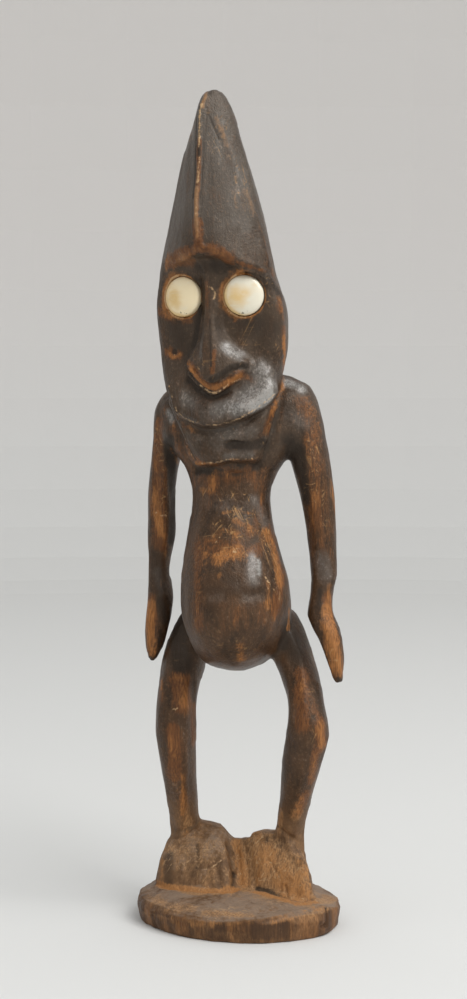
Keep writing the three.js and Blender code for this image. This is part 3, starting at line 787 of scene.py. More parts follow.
# %% Paint the rubbed wood
rubbed_strokes = [
    # crown and crest
    ([(206, 93), (203, 106)], 2.6, 0.9), ([(196, 188), (196, 218), (197, 236)], 2.4, 1.0),
    ([(217, 118), (228, 146)], 3.4, 0.65), ([(223, 150), (234, 178)], 3, 0.42),
    ([(232, 190), (237, 208)], 2.6, 0.5), ([(238, 160), (248, 186)], 3, 0.42),
    ([(246, 192), (256, 216), (267, 248)], 5, 0.62), ([(183, 158), (175, 196), (168, 233)], 1.4, 0.4),
    # brow and eyes
    ([(180, 260), (194, 252), (206, 249), (222, 255)], 4, 0.5), ([(168, 252), (165, 276)], 3, 0.6),
    ([(200, 278), (199, 300), (200, 326)], 2, 0.5), ([(230, 272), (238, 274)], 3, 0.6),
    ([(270, 262), (278, 285), (284, 320)], 3, 0.5),
    # nose and cheeks
    ([(163, 306), (168, 316), (180, 318)], 4, 0.7), ([(169, 352), (173, 357), (180, 354)], 2.6, 0.75),
    ([(188, 362), (197, 378), (210, 388), (226, 384), (240, 376)], 3.4, 0.8),
    ([(244, 376), (254, 384)], 4, 0.5), ([(284, 340), (285, 370), (280, 395), (272, 412)], 4, 0.7),
    # muzzle, jaw and collar
    ([(189, 427), (195, 432)], 2.4, 0.7), ([(196, 464), (216, 464)], 3, 0.6),
    ([(232, 460), (252, 460)], 3, 0.45), ([(171, 448), (178, 462), (188, 480)], 4, 0.6),
    # shoulders and arms
    ([(166, 412), (174, 426)], 4, 0.5), ([(280, 413), (298, 416)], 6, 0.4),
    ([(157, 425), (155, 470), (157, 510)], 5, 0.32), ([(157, 514), (162, 534)], 4.4, 0.8),
    ([(150, 606), (149, 625), (152, 652)], 6, 0.8), ([(309, 408), (312, 450), (318, 500)], 7, 0.22),
    ([(330, 480), (336, 520)], 4, 0.5), ([(331, 585), (329, 598)], 4, 0.5),
    ([(327, 612), (331, 630), (337, 650), (342, 672)], 8, 0.85),
    # chest and belly
    ([(216, 470), (228, 474)], 5, 0.6), ([(212, 476), (214, 492)], 4, 0.75),
    ([(200, 490), (219, 494)], 4, 0.65), ([(268, 470), (266, 485), (262, 500)], 4, 0.6),
    ([(217, 560), (229, 554), (239, 556)], 8, 0.85), ([(240, 548), (246, 560)], 4.5, 0.8),
    ([(219, 575)], 5, 0.65), ([(212, 537), (222, 531), (234, 534)], 5, 0.65),
    ([(234, 520), (244, 524), (252, 529)], 4, 0.85), ([(222, 513), (238, 511), (252, 514)], 2.6, 0.9),
    ([(204, 518), (207, 527)], 3, 0.6), ([(266, 534), (274, 552), (279, 580)], 7.5, 0.95),
    ([(205, 548), (203, 575)], 5, 0.55), ([(197, 600), (197, 620)], 3, 0.6),
    ([(240, 646), (240, 660)], 5, 0.55), ([(268, 584), (268, 608)], 4, 0.75),
    # legs
    ([(179, 680), (185, 700)], 8, 0.6), ([(172, 738), (175, 758)], 4, 0.45),
    ([(183, 775), (182, 815)], 1.8, 0.6), ([(162, 660), (161, 690)], 3, 0.5),
    ([(289, 610), (288, 628)], 3.4, 0.8), ([(320, 724), (323, 745)], 5, 0.6),
    ([(302, 680), (303, 700)], 4, 0.3), ([(316, 755), (311, 778)], 3, 0.5),
    ([(282, 812), (279, 830)], 3, 0.5), ([(301, 798), (297, 812)], 4, 0.4),
    # feet
    (RIGHT_FOOT_SEAM, 5, 1.3), (beside(LEFT_FOOT_SEAM, 0, 3), 5, 1.1),
    ([(236, 842), (241, 862), (243, 884)], 7, 0.95), ([(163, 862), (162, 884)], 3, 0.8),
    ([(188, 832), (180, 838)], 4, 0.7), ([(283, 830), (292, 838)], 4, 0.7),
    ([(256, 832), (262, 850), (258, 880)], 6, 0.6), ([(268, 856), (284, 876), (298, 888)], 17, 0.85),
    ([(300, 860), (310, 884)], 7, 0.7),
    # base
    (beside(BASE_EDGE, 0, 3), 4, 0.5),
]
keep_mark(wood, "rubbed", painted(rubbed_strokes), rings, rims * RIM_STRENGTH, behind * BACK_WEAR)

# %% [markdown]
# Smoke, oil and dirt, and painted shade, darken where no hand reaches: under the brow, in the mouth,
# inside the arms, in the fork of the legs, between the toes and in the crack of the base.

# %% Paint the soot and the painted shade
# Dirt and painted shade together: many of these strokes lie under the brow, the nose rim and the chin, and
# inside the arms and legs.
soot_and_painted_shade_strokes = [
    # crown and crest
    (beside(CREST[1:6], -3, 0), 1.3, 0.7), (beside(CREST[2:6], 4, 0), 1.3, 0.4), ([(203, 102)], 1.4, 1.2),
    ([(208, 112), (214, 126), (219, 139)], 1.2, 0.5), ([(199, 146), (199, 155)], 1.8, 0.9),
    # brow and eyes
    ([(198, 268), (214, 268), (228, 267)], 7, 0.6), ([(266, 276), (280, 294)], 7, 0.7),
    # nose and cheeks
    ([(196, 280), (198, 320), (194, 345)], 4, 0.8), ([(176, 325), (182, 345)], 14, 0.6),
    ([(250, 322), (270, 330)], 14, 0.55), ([(210, 320), (211, 366)], 1.2, 0.8),
    ([(190, 374), (200, 384), (210, 390)], 1.6, 0.6),
    ([(211, 380), (222, 374), (232, 367), (246, 366)], 3, 1.0),
    ([(190, 381), (202, 394), (213, 401), (226, 396)], 6, 0.5), ([(175, 351)], 2, 1.0),
    ([(217, 320), (221, 340)], 5, 0.55),
    # muzzle, jaw and collar
    ([(230, 445), (246, 446), (263, 443)], 5.5, 0.95), (beside(CHIN_LINE, 0, 9), 4, 0.35),
    # shoulders and arms
    ([(168, 440), (170, 462)], 7, 0.8), ([(288, 440), (300, 470)], 8, 0.8),
    ([(171, 440), (173, 500), (172, 540)], 6, 0.9), ([(300, 450), (306, 500)], 6, 0.8),
    ([(154, 555), (160, 590)], 10, 0.6), ([(324, 552), (326, 585)], 9, 0.4),
    ([(160, 600), (166, 620)], 7, 0.7), ([(320, 590), (318, 612)], 4, 0.7),
    # chest and belly
    ([(226, 578), (238, 586)], 9, 0.5), ([(205, 590), (235, 590), (262, 590)], 7, 0.45),
    ([(246, 545), (256, 540)], 5, 0.5),
    # legs
    ([(180, 600), (178, 640), (182, 664)], 12, 0.95), ([(286, 625), (298, 655)], 12, 0.7),
    ([(178, 718), (186, 726)], 6, 0.4), ([(190, 740), (190, 790)], 5, 0.4),
    ([(288, 720), (284, 780)], 7, 0.45),
    # feet
    ([(168, 858), (168, 882)], 8, 0.6), ([(230, 850), (233, 866), (234, 890)], 3, 0.35),
    ([(220, 862), (226, 888)], 4, 0.3), ([(192, 842), (194, 866)], 8, 0.35), ([(264, 840)], 6, 0.6),
    ([(258, 888), (270, 891), (286, 897)], 2, 0.55),
    # base
    ([(152, 915), (156, 928)], 7, 0.6), ([(180, 922), (186, 932)], 8, 0.6),
    ([(234, 928), (262, 928)], 8, 0.5), ([(326, 908), (327, 924)], 1.1, 0.7),
    ([(322, 927), (326, 926)], 2.2, 1.0),
]
keep_mark(wood, "soot_and_painted_shade", painted(soot_and_painted_shade_strokes), np.clip(painted_gap_shadow * SHADOW_STRENGTH, 0, 1))

# %% [markdown]
# Fresh damage is pale, because the wood below has not darkened yet. It lies along the sharp edges of
# the face and the crest, and in a few long cuts on the belly and the legs.

# %% Paint the pale chips and cuts
pale_strokes = [
    # crown and crest
    (CREST[1:4], 1.7, 0.85), ([(199, 157), (198, 170), (198, 184)], 2.4, 0.75),
    ([(196, 200), (196, 214)], 1.5, 0.55),
    # brow and eyes
    ([(207, 286), (213, 289), (215, 293), (214, 299)], 1.2, 0.85),
    # nose and cheeks
    (NOSE_RIM[1:5], 1.4, 0.9), ([(228, 385), (240, 379)], 1.2, 0.7), ([(173, 355), (177, 356)], 1.0, 0.6),
    # muzzle, jaw and collar
    (MOUTH_ARC[2:-1], 1.3, 0.75), (CHIN_LINE, 1.1, 0.7), (JAW_RIGHT_SIDE, 1.1, 0.55),
    (JAW_LEFT_SIDE[2:], 1.1, 0.5),
    # shoulders and arms
    ([(154, 510), (162, 516), (168, 514)], 1.1, 0.8),
    # chest and belly
    ([(263, 574), (279, 598)], 1.1, 0.9), ([(268, 586), (268, 609)], 1.2, 0.6),
    ([(213, 546), (227, 527)], 1.2, 0.7), ([(222, 556), (240, 549)], 3, 0.5),
    # legs
    ([(169, 704), (173, 709), (178, 708)], 1.2, 0.85),
    # feet
    ([(198, 869), (210, 868), (222, 860)], 1.1, 0.7), ([(269, 861), (276, 868), (280, 880)], 1.2, 0.7),
]
keep_mark(wood, "pale", painted(pale_strokes), rims**2 * RIM_PALENESS)

# %% [markdown]
# Fine scratches would be too many to draw one by one. So these strokes only say where they are
# thick, on the waist, the side of the belly and the feet, and the finish draws them there. The last
# table says where handling has left a shine: a clear coat, and a highlight painted into the colour.

# %% Paint the scratched places
scratched_strokes = [
    # crown and crest
    ([(222, 120), (240, 170), (262, 240)], 12, 0.4),
    # brow and eyes
    ([(268, 275), (272, 300)], 6, 0.9),
    # nose and cheeks
    ([(196, 350), (206, 378)], 8, 0.5), ([(240, 330), (276, 345)], 12, 0.5),
    # shoulders and arms
    ([(158, 430), (160, 530)], 8, 0.6), ([(312, 430), (322, 530)], 10, 0.6),
    ([(332, 640), (338, 670)], 7, 0.6),
    # chest and belly
    ([(222, 497), (248, 497)], 5, 1.0), ([(205, 490), (220, 492)], 6, 0.8),
    ([(222, 512), (252, 515)], 7, 1.15), ([(212, 530), (250, 526)], 12, 0.95),
    ([(266, 534), (280, 590)], 8, 1.1), ([(215, 556), (245, 556)], 10, 0.8),
    ([(198, 550), (198, 620)], 6, 0.5), ([(215, 640), (250, 650)], 12, 0.5),
    # legs
    ([(170, 690), (186, 700)], 12, 0.5), ([(310, 690), (316, 740)], 9, 0.5),
    # feet
    ([(172, 850), (215, 870)], 22, 0.7), ([(238, 850), (242, 880)], 8, 0.9),
    ([(262, 850), (300, 880)], 24, 1.0),
    # base
    ([(170, 905), (230, 910), (300, 902)], 14, 0.5),
]
keep_mark(wood, "scratched", painted(scratched_strokes), behind * BACK_SCRATCHES)

# %% Paint the shine: the clear coat and the painted highlight
# Where these strokes are strong, the wood gets a clear coat and also a sheen and glints painted into its
# colour as a highlight.
gloss_and_painted_highlight_strokes = [
    # crown and crest
    ([(222, 128), (238, 180), (250, 232)], 16, 0.3), ([(188, 170), (178, 225)], 9, 0.25),
    # nose and cheeks
    ([(203, 330), (200, 356)], 4, 0.4), ([(228, 348), (238, 354)], 7, 0.95),
    ([(264, 374), (264, 386), (246, 398)], 14, 0.95),
    ([(236, 408), (256, 403), (266, 396), (272, 384)], 9, 1.15),
    ([(254, 406), (262, 401), (269, 393)], 8, 1.6),
    # muzzle, jaw and collar
    ([(212, 410), (234, 404)], 9, 0.7), ([(186, 398), (206, 416)], 8, 0.5),
    ([(212, 434), (250, 430)], 9, 0.35), ([(226, 456), (250, 454)], 5, 0.45),
    ([(200, 440), (218, 448)], 8, 0.3),
    # shoulders and arms
    ([(290, 412), (304, 424)], 9, 0.5), ([(288, 382), (302, 388)], 6, 1.1),
    ([(168, 412), (172, 421)], 4, 1.0), ([(166, 420), (164, 440)], 6, 0.3),
    ([(322, 556), (326, 576)], 8, 0.5), ([(156, 572), (164, 590)], 6, 0.4),
    # chest and belly
    ([(254, 500), (266, 524)], 7, 0.6), ([(214, 504), (244, 512)], 12, 0.45),
    ([(253, 560), (254, 580)], 8, 0.8), ([(259, 562), (259, 574)], 3, 1.2),
    ([(210, 600), (222, 597)], 5, 0.35), ([(246, 598), (260, 597)], 5, 0.35),
    # legs
    ([(292, 628), (300, 646)], 6, 0.4),
]
keep_mark(wood, "gloss_and_painted_highlight", painted(gloss_and_painted_highlight_strokes))

# %% [markdown]
# ## A way to write finishes
#
# A finish is a network of small nodes. Written node by node it hides its own idea, so two small
# classes help: one stands for a value over the surface and turns ordinary arithmetic into Math nodes,
# and the other adds any other node from its type, its settings and its sockets. Two functions go with
# them: one writes a colour, and the other lays colours over each other as coats of paint are laid.

# %% Helpers for finishes
class Field:
    """A value that varies over a surface. Arithmetic on it adds Math nodes to its finish."""

    def __init__(self, finish, socket):
        self.finish = finish
        self.socket = socket

    def maths(self, operation, *operands):
        return self.finish.node("ShaderNodeMath", {"operation": operation}, dict(enumerate(operands)))

    def __add__(self, other):
        return self.maths("ADD", self, other)

    def __sub__(self, other):
        return self.maths("SUBTRACT", self, other)

    def __rsub__(self, other):
        return self.maths("SUBTRACT", other, self)

    def __mul__(self, other):
        return self.maths("MULTIPLY", self, other)

    __radd__ = __add__
    __rmul__ = __mul__

    def step(self, low, high):
        """0 below the low value, 1 above the high one, and smooth between."""
        sockets = {"Value": self, "From Min": low, "From Max": high}
        return self.finish.node("ShaderNodeMapRange", {"interpolation_type": "SMOOTHSTEP"}, sockets, "Result")

    def mix(self, first, second):
        """One value where this field is 0, and another where it is 1."""
        return first + (second - first) * self

    def blend(self, first, second):
        """One colour where this field is 0, and another where it is 1."""
        sockets = {"Factor_Float": self, "A_Color": first, "B_Color": second}
        return self.finish.node("ShaderNodeMix", {"data_type": "RGBA"}, sockets, "Result_Color")


class Finish:
    """A material: a Principled shader with constant values, and fields that feed its sockets."""

    def __init__(self, name, constants):
        self.material = bpy.data.materials.new(name)
        self.material.use_nodes = True
        self.tree = self.material.node_tree
        self.shader = self.tree.nodes["Principled BSDF"]
        for socket, value in constants.items():
            self.shader.inputs[socket].default_value = value

    def node(self, kind, settings, sockets, result=0):
        """Adds a node, and gives back one of its results."""
        made = self.tree.nodes.new(kind)
        for name, value in settings.items():
            setattr(made, name, value)
        for key, value in sockets.items():
            socket = made.inputs[key] if isinstance(key, int) else self.find(made.inputs, key)
            if isinstance(value, Field):
                self.tree.links.new(value.socket, socket)
            else:
                socket.default_value = value
        outputs = made.outputs
        return Field(self, outputs[result] if isinstance(result, int) else self.find(outputs, result))

    @staticmethod
    def find(sockets, key):
        return next(socket for socket in sockets if key in (socket.identifier, socket.name))

    def mark(self, name):
        """One of the marks kept on the piece."""
        return self.node("ShaderNodeAttribute", {"attribute_name": name}, {}, "Fac")

    def position(self):
        return self.node("ShaderNodeTexCoord", {}, {}, "Object")

    def along(self, axis):
        """How far a point is along an axis, in metres."""
        return self.node("ShaderNodeSeparateXYZ", {}, {"Vector": self.position()}, axis)

    def noise(self, cells, detail=4.0, roughness=0.6, stretch=(1, 1, 1), distortion=0.0, lean=0.0):
        """Soft noise with this many cells to a metre, drawn out along an axis by a small stretch."""
        place = self.position()
        if lean:
            sockets = {"Vector": place, "Angle": math.radians(lean)}
            place = self.node("ShaderNodeVectorRotate", {"rotation_type": "Y_AXIS"}, sockets, "Vector")
        place = self.node("ShaderNodeVectorMath", {"operation": "MULTIPLY"}, {0: place, 1: stretch}, "Vector")
        sockets = {"Vector": place, "Scale": cells, "Detail": detail}
        sockets |= {"Roughness": roughness, "Distortion": distortion}
        return self.node("ShaderNodeTexNoise", {}, sockets, "Fac")

    def feed(self, socket, field):
        self.tree.links.new(field.socket, self.shader.inputs[socket])

    def bump(self, height, distance, strength=1.0):
        sockets = {"Height": height, "Distance": distance, "Strength": strength}
        self.feed("Normal", self.node("ShaderNodeBump", {}, sockets))


def colour(red, green, blue):
    """A colour for a node socket, from linear red, green and blue."""
    return (red, green, blue, 1.0)


def layered(ground, *layers):
    """A ground colour with others laid over it in turn, each by its own share."""
    for share, layer in layers:
        ground = share.blend(ground, layer)
    return ground


# %% [markdown]
# ## The wood's finish
#
# Old dark wood is layers: brown heartwood, a skin of smoke and oil over it, and bare wood where hands
# have rubbed that skin away. So the finish is built the same way, from the dark skin up. One noise
# wouldn't do, because real wood is uneven at several sizes at once. Here there are five: fibres and
# streaks drawn out along the grain, clouds about a thumb wide, flecks, and grit. Each mark is broken
# up by them before it shows, so that a patch ends in streaks and specks, not in a soft edge.

# %% Lay out the grain
GRAIN = (1.0, 1.0, 0.10)

dark_wood = Finish("dark_wood", {
    "Specular IOR Level": 0.4, "Specular Tint": colour(1.0, 0.87, 0.74), "Coat Roughness": 0.25,
})
fibre = dark_wood.noise(1200, 3, 0.6, GRAIN)
streak = dark_wood.noise(230, 4, 0.65, GRAIN) - 0.5
cloud = dark_wood.noise(60, 4, 0.6, (1, 1, 0.6)) - 0.5
fleck = dark_wood.noise(520, 4, 0.7) - 0.5
grit = dark_wood.noise(1500, 2, 0.6, (1, 1, 0.5)) - 0.5
uneven = streak * 1.1 + cloud * 1.6 + fleck * 0.7
print("the grain takes", len(dark_wood.tree.nodes), "nodes")

# %% Tell the crown, the head and the feet apart by their height
CROWN_LEVEL, HEAD_LEVEL, ANKLE_LEVEL = (0.360, 0.386), (0.235, 0.275), (0.045, 0.080)  # m

height = dark_wood.along("Z")
on_crown = (height + cloud * 0.05).step(*CROWN_LEVEL)
on_head = (height + cloud * 0.06).step(*HEAD_LEVEL)
on_feet = 1 - (height + cloud * 0.06).step(*ANKLE_LEVEL)
strand = (on_head * 0.7).mix(fibre, fleck + 0.5).step(0.32, 0.68)
fringe = (fibre - 0.5) * (1 - on_head * 0.7) + fleck * on_head * 0.6
print("the head is above", HEAD_LEVEL[0], "m, and the feet are below", ANKLE_LEVEL[1], "m")

# %% [markdown]
# ### The dark skin
#
# The skin is greyer on the head, greyest on the crown, browner on the body, and thin and dusty on the
# feet and the base. Rust-brown clouds and small specks keep it from being one flat brown. Where it
# has been handled, a soft grey sheen with brighter glints is painted into it as a highlight.

# %% Lay the dark skin
CROWN_GREY = colour(0.084, 0.072, 0.061)
RUST = colour(0.125, 0.050, 0.018)
PAINTED_SHEEN, PAINTED_GLINT = colour(0.150, 0.138, 0.124), colour(0.360, 0.350, 0.330)
SPECK = colour(0.200, 0.120, 0.070)
DUST = colour(0.230, 0.170, 0.125)

gloss_and_painted_highlight = dark_wood.mark("gloss_and_painted_highlight")
rusty = dark_wood.noise(140, 5, 0.7, (1, 1, 0.4)).step(0.50, 0.70) * strand
# Painted highlight: a grey sheen and brighter glints are laid into the colour where the gloss mark is; the
# sheen field also sets the clear coat.
coat_and_painted_sheen = (gloss_and_painted_highlight + cloud * 1.2 + fleck * 0.8).step(0.05, 1.1)
painted_glint = (gloss_and_painted_highlight + cloud * 2 + (fleck + grit) * 1.8).step(0.70, 1.4)
speckle = (grit + fleck).step(0.05, 0.25)
dust = (dark_wood.mark("dusty") + fleck * 2 + cloud * 3).step(0.45, 1.2)
black = layered(
    colour(0.023, 0.012, 0.006),
    (on_head, colour(0.030, 0.017, 0.010)),
    (on_feet, colour(0.085, 0.043, 0.019)),
)
brown = layered(
    colour(0.083, 0.040, 0.018),
    (on_head, colour(0.067, 0.045, 0.030)),
    (on_feet, colour(0.240, 0.130, 0.060)),
)
dark_skin = layered(
    uneven.step(-0.50, 0.45).blend(black, brown),
    # greyer on the crown
    (on_crown * (0.75 + cloud), CROWN_GREY),
    (rusty * 0.5, RUST),
    # painted highlight: the sheen and its glints, laid into the colour
    (coat_and_painted_sheen * 0.75, PAINTED_SHEEN),
    (painted_glint * 0.7, PAINTED_GLINT),
    (speckle * 0.28, SPECK),
    (dust * 0.8, DUST),
)
print("with the dark skin it takes", len(dark_wood.tree.nodes), "nodes")

# %% [markdown]
# ### Warm wood, soot and painted shade, and the side of the base
#
# Where the skin is thin the wood glows red through it, and on the feet it is tan. Soot and painted
# shade then darken the hollows. The side of the base was hewn along the grain, and shows upright bands
# of light and dark wood.

# %% Lay the warm wood, the soot and painted shade, and the base's bands
SOOT_AND_PAINTED_SHADE = colour(0.016, 0.011, 0.008)
BAND = colour(0.036, 0.018, 0.010)

# Dark where the soot mark is and in the hollows of the shape: dirt and painted shade together.
soot_and_painted_shade = (dark_wood.mark("soot_and_painted_shade") + dark_wood.mark("hollow") * 0.5 + uneven * 0.5).step(0.20, 0.85)
thin_skin = dark_wood.mark("warm") + fringe * 0.6 + uneven * 0.8 - soot_and_painted_shade * 0.35 - coat_and_painted_sheen * 0.3
warm = thin_skin.step(0.20, 0.75)
red_wood = strand.blend(colour(0.090, 0.030, 0.009), colour(0.180, 0.066, 0.018))
tan_wood = strand.blend(colour(0.185, 0.092, 0.038), colour(0.450, 0.255, 0.115))
side = dark_wood.mark("side")
side_wood = strand.blend(colour(0.115, 0.044, 0.013), colour(0.235, 0.098, 0.030))
bands = dark_wood.noise(85, 2, 0.5, (1, 1, 0.06)).step(0.38, 0.54)
covered_wood = layered(
    dark_skin,
    (warm * 0.85, on_feet.blend(red_wood, tan_wood)),
    (soot_and_painted_shade * 0.85, SOOT_AND_PAINTED_SHADE),
    (side * 0.85, side_wood),
    (bands * side * 0.85, BAND),
)
print("with the warm wood it takes", len(dark_wood.tree.nodes), "nodes")

# %% [markdown]
# ### Bare wood, scratches and chips
#
# Bare wood is orange, duller on the crown and yellower on the feet. Scratches are thin, so a noise
# stretched very long in one direction draws them, and is laid three times at different angles, as
# knocks come from all sides. Drawing each as a stroke would take hundreds of rows.

# %% Lay the bare wood, the scratches and the chips
CROWN_WOOD, FEET_WOOD = colour(0.250, 0.160, 0.090), colour(0.420, 0.230, 0.095)
CHIP = colour(0.520, 0.340, 0.180)
SCRATCH_LEANS = (8, 62, 118)  # degrees from level
SCRATCH_STRETCH = (0.06, 1, 1)

wear = dark_wood.mark("rubbed") + dark_wood.mark("edge") * 0.25 + warm * 0.15
worn = (wear + uneven * 0.9 - fleck * 0.3 + fringe * 0.6).step(0.42, 1.20)
bare_wood = layered(
    strand.blend(colour(0.215, 0.082, 0.021), colour(0.400, 0.164, 0.046)),
    (on_crown * 0.7, CROWN_WOOD),
    (on_feet * 0.35, FEET_WOOD),
)
scratch = sum(
    dark_wood.noise(620, 2, 0.5, SCRATCH_STRETCH, 0.3, lean).step(0.62, 0.72) for lean in SCRATCH_LEANS
)
scratch = scratch * (dark_wood.mark("scratched") + cloud * 2.5).step(0.15, 0.90)
scratch_colour = on_feet.blend(colour(0.430, 0.240, 0.095), colour(0.520, 0.330, 0.170))
pale = (dark_wood.mark("pale") + fleck * 1.8 + streak * 0.8).step(0.50, 0.90)
wood_colour = layered(
    covered_wood,
    (worn * 0.9, bare_wood),
    (scratch * 0.6, scratch_colour),
    (pale * 0.85, CHIP),
)
print("in all it takes", len(dark_wood.tree.nodes), "nodes")

# %% [markdown]
# ### Shine and surface
#
# Handled places have a thin, clear coat, as grease from hands leaves it. Bare wood, feet, soot and
# painted shade are dull. The fibres and flecks stand out a little, and the scratches are cut in. A bump
# shows them well enough, because they are far finer than the net of the skin.

# %% Feed the shader and dress the wood
BUMP_HEIGHT, BUMP_STRENGTH = 0.0006, 0.75  # m, and a share

dull = worn * 0.16 + fleck * 0.35 + cloud * 0.2 + on_feet * 0.20 + soot_and_painted_shade * 0.18
relief = fibre * 0.5 + streak * 0.5 + fleck * 0.8 + grit * 0.4 - scratch * 0.4
dark_wood.feed("Base Color", wood_colour)
dark_wood.feed("Roughness", 0.36 + dull - coat_and_painted_sheen * 0.06)
dark_wood.feed("Coat Weight", coat_and_painted_sheen * 0.9)
dark_wood.bump(relief, BUMP_HEIGHT, BUMP_STRENGTH)

wood.data.materials.clear()
wood.data.materials.append(dark_wood.material)
only(wood)
bpy.ops.object.shade_smooth()
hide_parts("carved_figure")
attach(wood, "root")
print("dressed", wood.name, "of", len(wood.data.polygons), "faces")

# %% [markdown]
# ## The shell eyes
#
# Each eye is a disc ground from the thick part of a sea shell: flat behind, straight at the rim and
# gently domed in front. A flattened ball gives the dome, with its underside sliced away, and its open
# edge is drawn down to make the rim and closed at the back.

# %% Model the shells
RIM_SHARE = 0.42  # how much of a shell's thickness is its straight rim
SHELL_FIT = 0.990  # share of the solid disc's radius, so that its bed shows as a dark line
OFF_MIDDLE = {"right": (0.05, 0, 0), "left": (-0.13, 0, 0.12)}  # mm from the middle of its socket
ROUND_SIDES, DOME_RINGS = 64, 40
BACK_INSET = 0.1  # share of the radius
SHARP_ANGLE = math.radians(40)


def model_shell(name, seat):
    """A domed disc on its seat, closed behind."""
    rim = seat.thickness * RIM_SHARE * MM
    radius = seat.radius * SHELL_FIT * MM
    bpy.ops.object.select_all(action="DESELECT")
    bpy.ops.mesh.primitive_uv_sphere_add(
        segments=ROUND_SIDES, ring_count=DOME_RINGS, radius=radius, enter_editmode=True,
    )
    dome = (seat.thickness * MM - rim) / radius
    bpy.ops.transform.resize(value=(1, 1, dome))
    bpy.ops.mesh.select_all(action="SELECT")
    bpy.ops.mesh.bisect(plane_co=(0, 0, 0), plane_no=(0, 0, 1), clear_inner=True)
    bpy.ops.mesh.extrude_region_move(TRANSFORM_OT_translate={"value": (0, 0, -rim)})
    bpy.ops.mesh.edge_face_add()
    bpy.ops.mesh.inset(thickness=radius * BACK_INSET)
    bpy.ops.object.mode_set(mode="OBJECT")
    piece = bpy.context.object
    piece.name = f"{name}_shell_disc"
    piece.matrix_world = Matrix.Translation(Vector(OFF_MIDDLE[name]) * MM) @ seat.matrix(rim / MM)
    keep_size(piece)
    bpy.ops.object.shade_smooth_by_angle(angle=SHARP_ANGLE)
    return piece


shells = {name: model_shell(name, seat) for name, seat in seats.items()}
for piece in shells.values():
    print(piece.name, "has", len(piece.data.polygons), "faces")

# %% [markdown]
# ## How the shells have aged
#
# Each disc has a yellow patch towards the left of the picture, a yellow edge low down on that side,
# and a dark pit or two at its lower edge. Both discs get the same marks, measured in shares of the
# radius from the seat's middle, and the finish breaks them up so that the two don't look alike.

# %% Mark the yellow and the pitted places
# The middle, to the right and up, the squash in both directions, and the reach
YELLOW_PATCH = ((-0.45, -0.15), (0.8, 1), 0.8)
PITTED_PATCH = ((-0.15, -0.86), (1, 2), 0.5)
YELLOW_STRENGTH = 0.75


def spot(right, up, middle, squash, reach):
    """1 at a place on a disc, falling to 0 at the reach, all in shares of the disc's radius."""
    across = np.hypot((right - middle[0]) * squash[0], (up - middle[1]) * squash[1])
    return np.clip(1 - across / reach, 0, 1)


for name, piece in shells.items():
    seat = seats[name]
    offset = np.array([corner.co for corner in piece.data.vertices]) / MM - seat.middle
    right, up = (offset @ np.array(axis) / seat.radius for axis in (picture_right, picture_up))
    rim = np.clip(np.hypot(right, up) * 5 - 3.9, 0, 1) * np.clip(0.3 - 0.9 * (right + up), 0, 1)
    keep_mark(piece, "aged", spot(right, up, *YELLOW_PATCH) * YELLOW_STRENGTH, rim)
    keep_mark(piece, "pitted", spot(right, up, *PITTED_PATCH))

# %% [markdown]
# ## The shells' finish
#
# Polished shell is cream-white and glossy, with fine growth lines across it. The right disc is
# yellower than the left one, so the cream changes slowly from one eye to the other. A clear coat
# gives the sharp highlight that polished shell has.

# %% Finish the shells
GOLDEN_CREAM, COOL_CREAM = colour(0.90, 0.76, 0.50), colour(0.79, 0.74, 0.60)
YELLOWED = colour(0.74, 0.51, 0.21)
GROWTH_LINE = colour(0.84, 0.79, 0.66)
PIT = colour(0.10, 0.07, 0.04)

shell = Finish("shell", {"Roughness": 0.25, "Coat Weight": 0.3, "Coat Roughness": 0.10})
blotch = shell.noise(75, 2, 0.5)
growth = shell.noise(260, 3, 0.5, (0.3, 1, 1), 0.8)
aged = (shell.mark("aged") * 0.75 + (blotch - 0.5) * 1.5 + (growth - 0.5) * 0.6).step(0.05, 0.75)
pits = (shell.noise(700, 2, 0.6) + shell.mark("pitted") * 0.30).step(0.78, 0.84)
shell.feed("Base Color", layered(
    shell.along("X").step(-0.010, 0.010).blend(GOLDEN_CREAM, COOL_CREAM),
    (aged * 0.9, YELLOWED),
    (growth.step(0.50, 0.80) * 0.4, GROWTH_LINE),
    (pits * 0.8, PIT),
))
shell.bump(growth, 0.0002, 0.25)
for name, piece in shells.items():
    piece.data.materials.append(shell.material)
    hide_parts(f"{name}_eye_shell")
    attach(piece, "root")
print("the shells' finish has", len(shell.tree.nodes), "nodes")

# %% [markdown]
# ## Floor and light
#
# The figure stands in an open dish: a pale floor that curves up into a low wall all round, as a
# photographer's paper sweep does, so no horizon shows from any side. One large soft lamp stands high
# on the right, and the pale sky fills the shadows.

# %% Draw up the dish
DISH_FLOOR, DISH_CURVE, DISH_WALL = 1.9, 1.0, 0.5  # m: flat radius, curve radius, wall above the curve
DISH_SIDES, CURVE_STEPS = 96, 12
FLOOR_WHITE, WALL_WHITE = colour(0.730, 0.735, 0.720), colour(0.720, 0.700, 0.680)

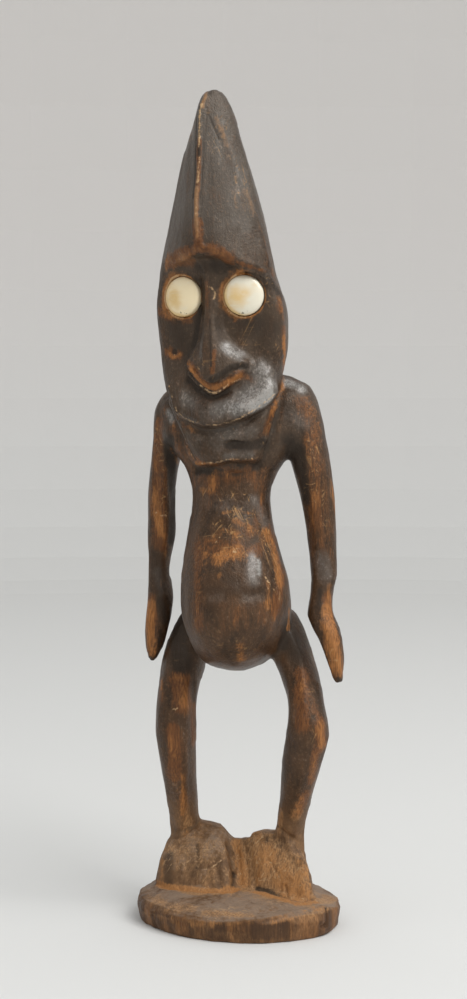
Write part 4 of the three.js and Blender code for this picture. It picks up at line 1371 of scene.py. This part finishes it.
bpy.ops.object.select_all(action="DESELECT")
bpy.context.tool_settings.mesh_select_mode = (False, True, False)
bpy.ops.mesh.primitive_circle_add(
    vertices=DISH_SIDES, radius=DISH_FLOOR, fill_type="NGON", enter_editmode=True,
)
bpy.ops.mesh.region_to_loop()
for step in range(CURVE_STEPS):
    start, end = (math.pi / 2 * k / CURVE_STEPS for k in (step, step + 1))
    grown = (DISH_FLOOR + DISH_CURVE * math.sin(end)) / (DISH_FLOOR + DISH_CURVE * math.sin(start))
    rise = DISH_CURVE * (math.cos(start) - math.cos(end))
    bpy.ops.mesh.extrude_region_move(TRANSFORM_OT_translate={"value": (0, 0, rise)})
    bpy.ops.transform.resize(value=(grown, grown, 1))
bpy.ops.mesh.extrude_region_move(TRANSFORM_OT_translate={"value": (0, 0, DISH_WALL)})
bpy.ops.mesh.select_all(action="SELECT")
bpy.ops.mesh.normals_make_consistent(inside=True)
bpy.ops.object.mode_set(mode="OBJECT")
floor = bpy.context.object
floor.name = "floor"

paper = Finish("paper", {"Roughness": 0.9})
up_the_wall = (paper.along("Z") + (paper.noise(3, 2) - 0.5) * 0.1).step(-0.05, 0.7)
paper.feed("Base Color", up_the_wall.blend(FLOOR_WHITE, WALL_WHITE))
floor.data.materials.append(paper.material)
print("the dish is", 2 * (DISH_FLOOR + DISH_CURVE), "m across")

# %% Hang the lamp and light the sky
LAMP_POWER, LAMP_SIZE = 37, 1.5  # W and m
LAMP_RIGHT, LAMP_UP, LAMP_TOWARDS = 1.15, 1.75, 1.1  # m from the figure's foot, as the camera sees it
LAMP_AIM = 0.25  # m up the figure
SKY = 0.67

lamp = bpy.data.objects.new("key", bpy.data.lights.new("key", "AREA"))
lamp.data.energy = LAMP_POWER
lamp.data.size = LAMP_SIZE
lamp.location = picture_right * LAMP_RIGHT + Vector((0, 0, LAMP_UP)) + picture_back * LAMP_TOWARDS
lamp.rotation_euler = (lamp.location - Vector((0, 0, LAMP_AIM))).to_track_quat("Z", "Y").to_euler()
bpy.context.scene.collection.objects.link(lamp)
world = bpy.data.worlds.new("studio")
world.use_nodes = True
world.node_tree.nodes["Background"].inputs["Color"].default_value = colour(SKY, SKY, SKY)
bpy.context.scene.world = world
bpy.context.scene.view_settings.view_transform = "Standard"
print("the lamp hangs at", tuple(round(v, 2) for v in lamp.location))
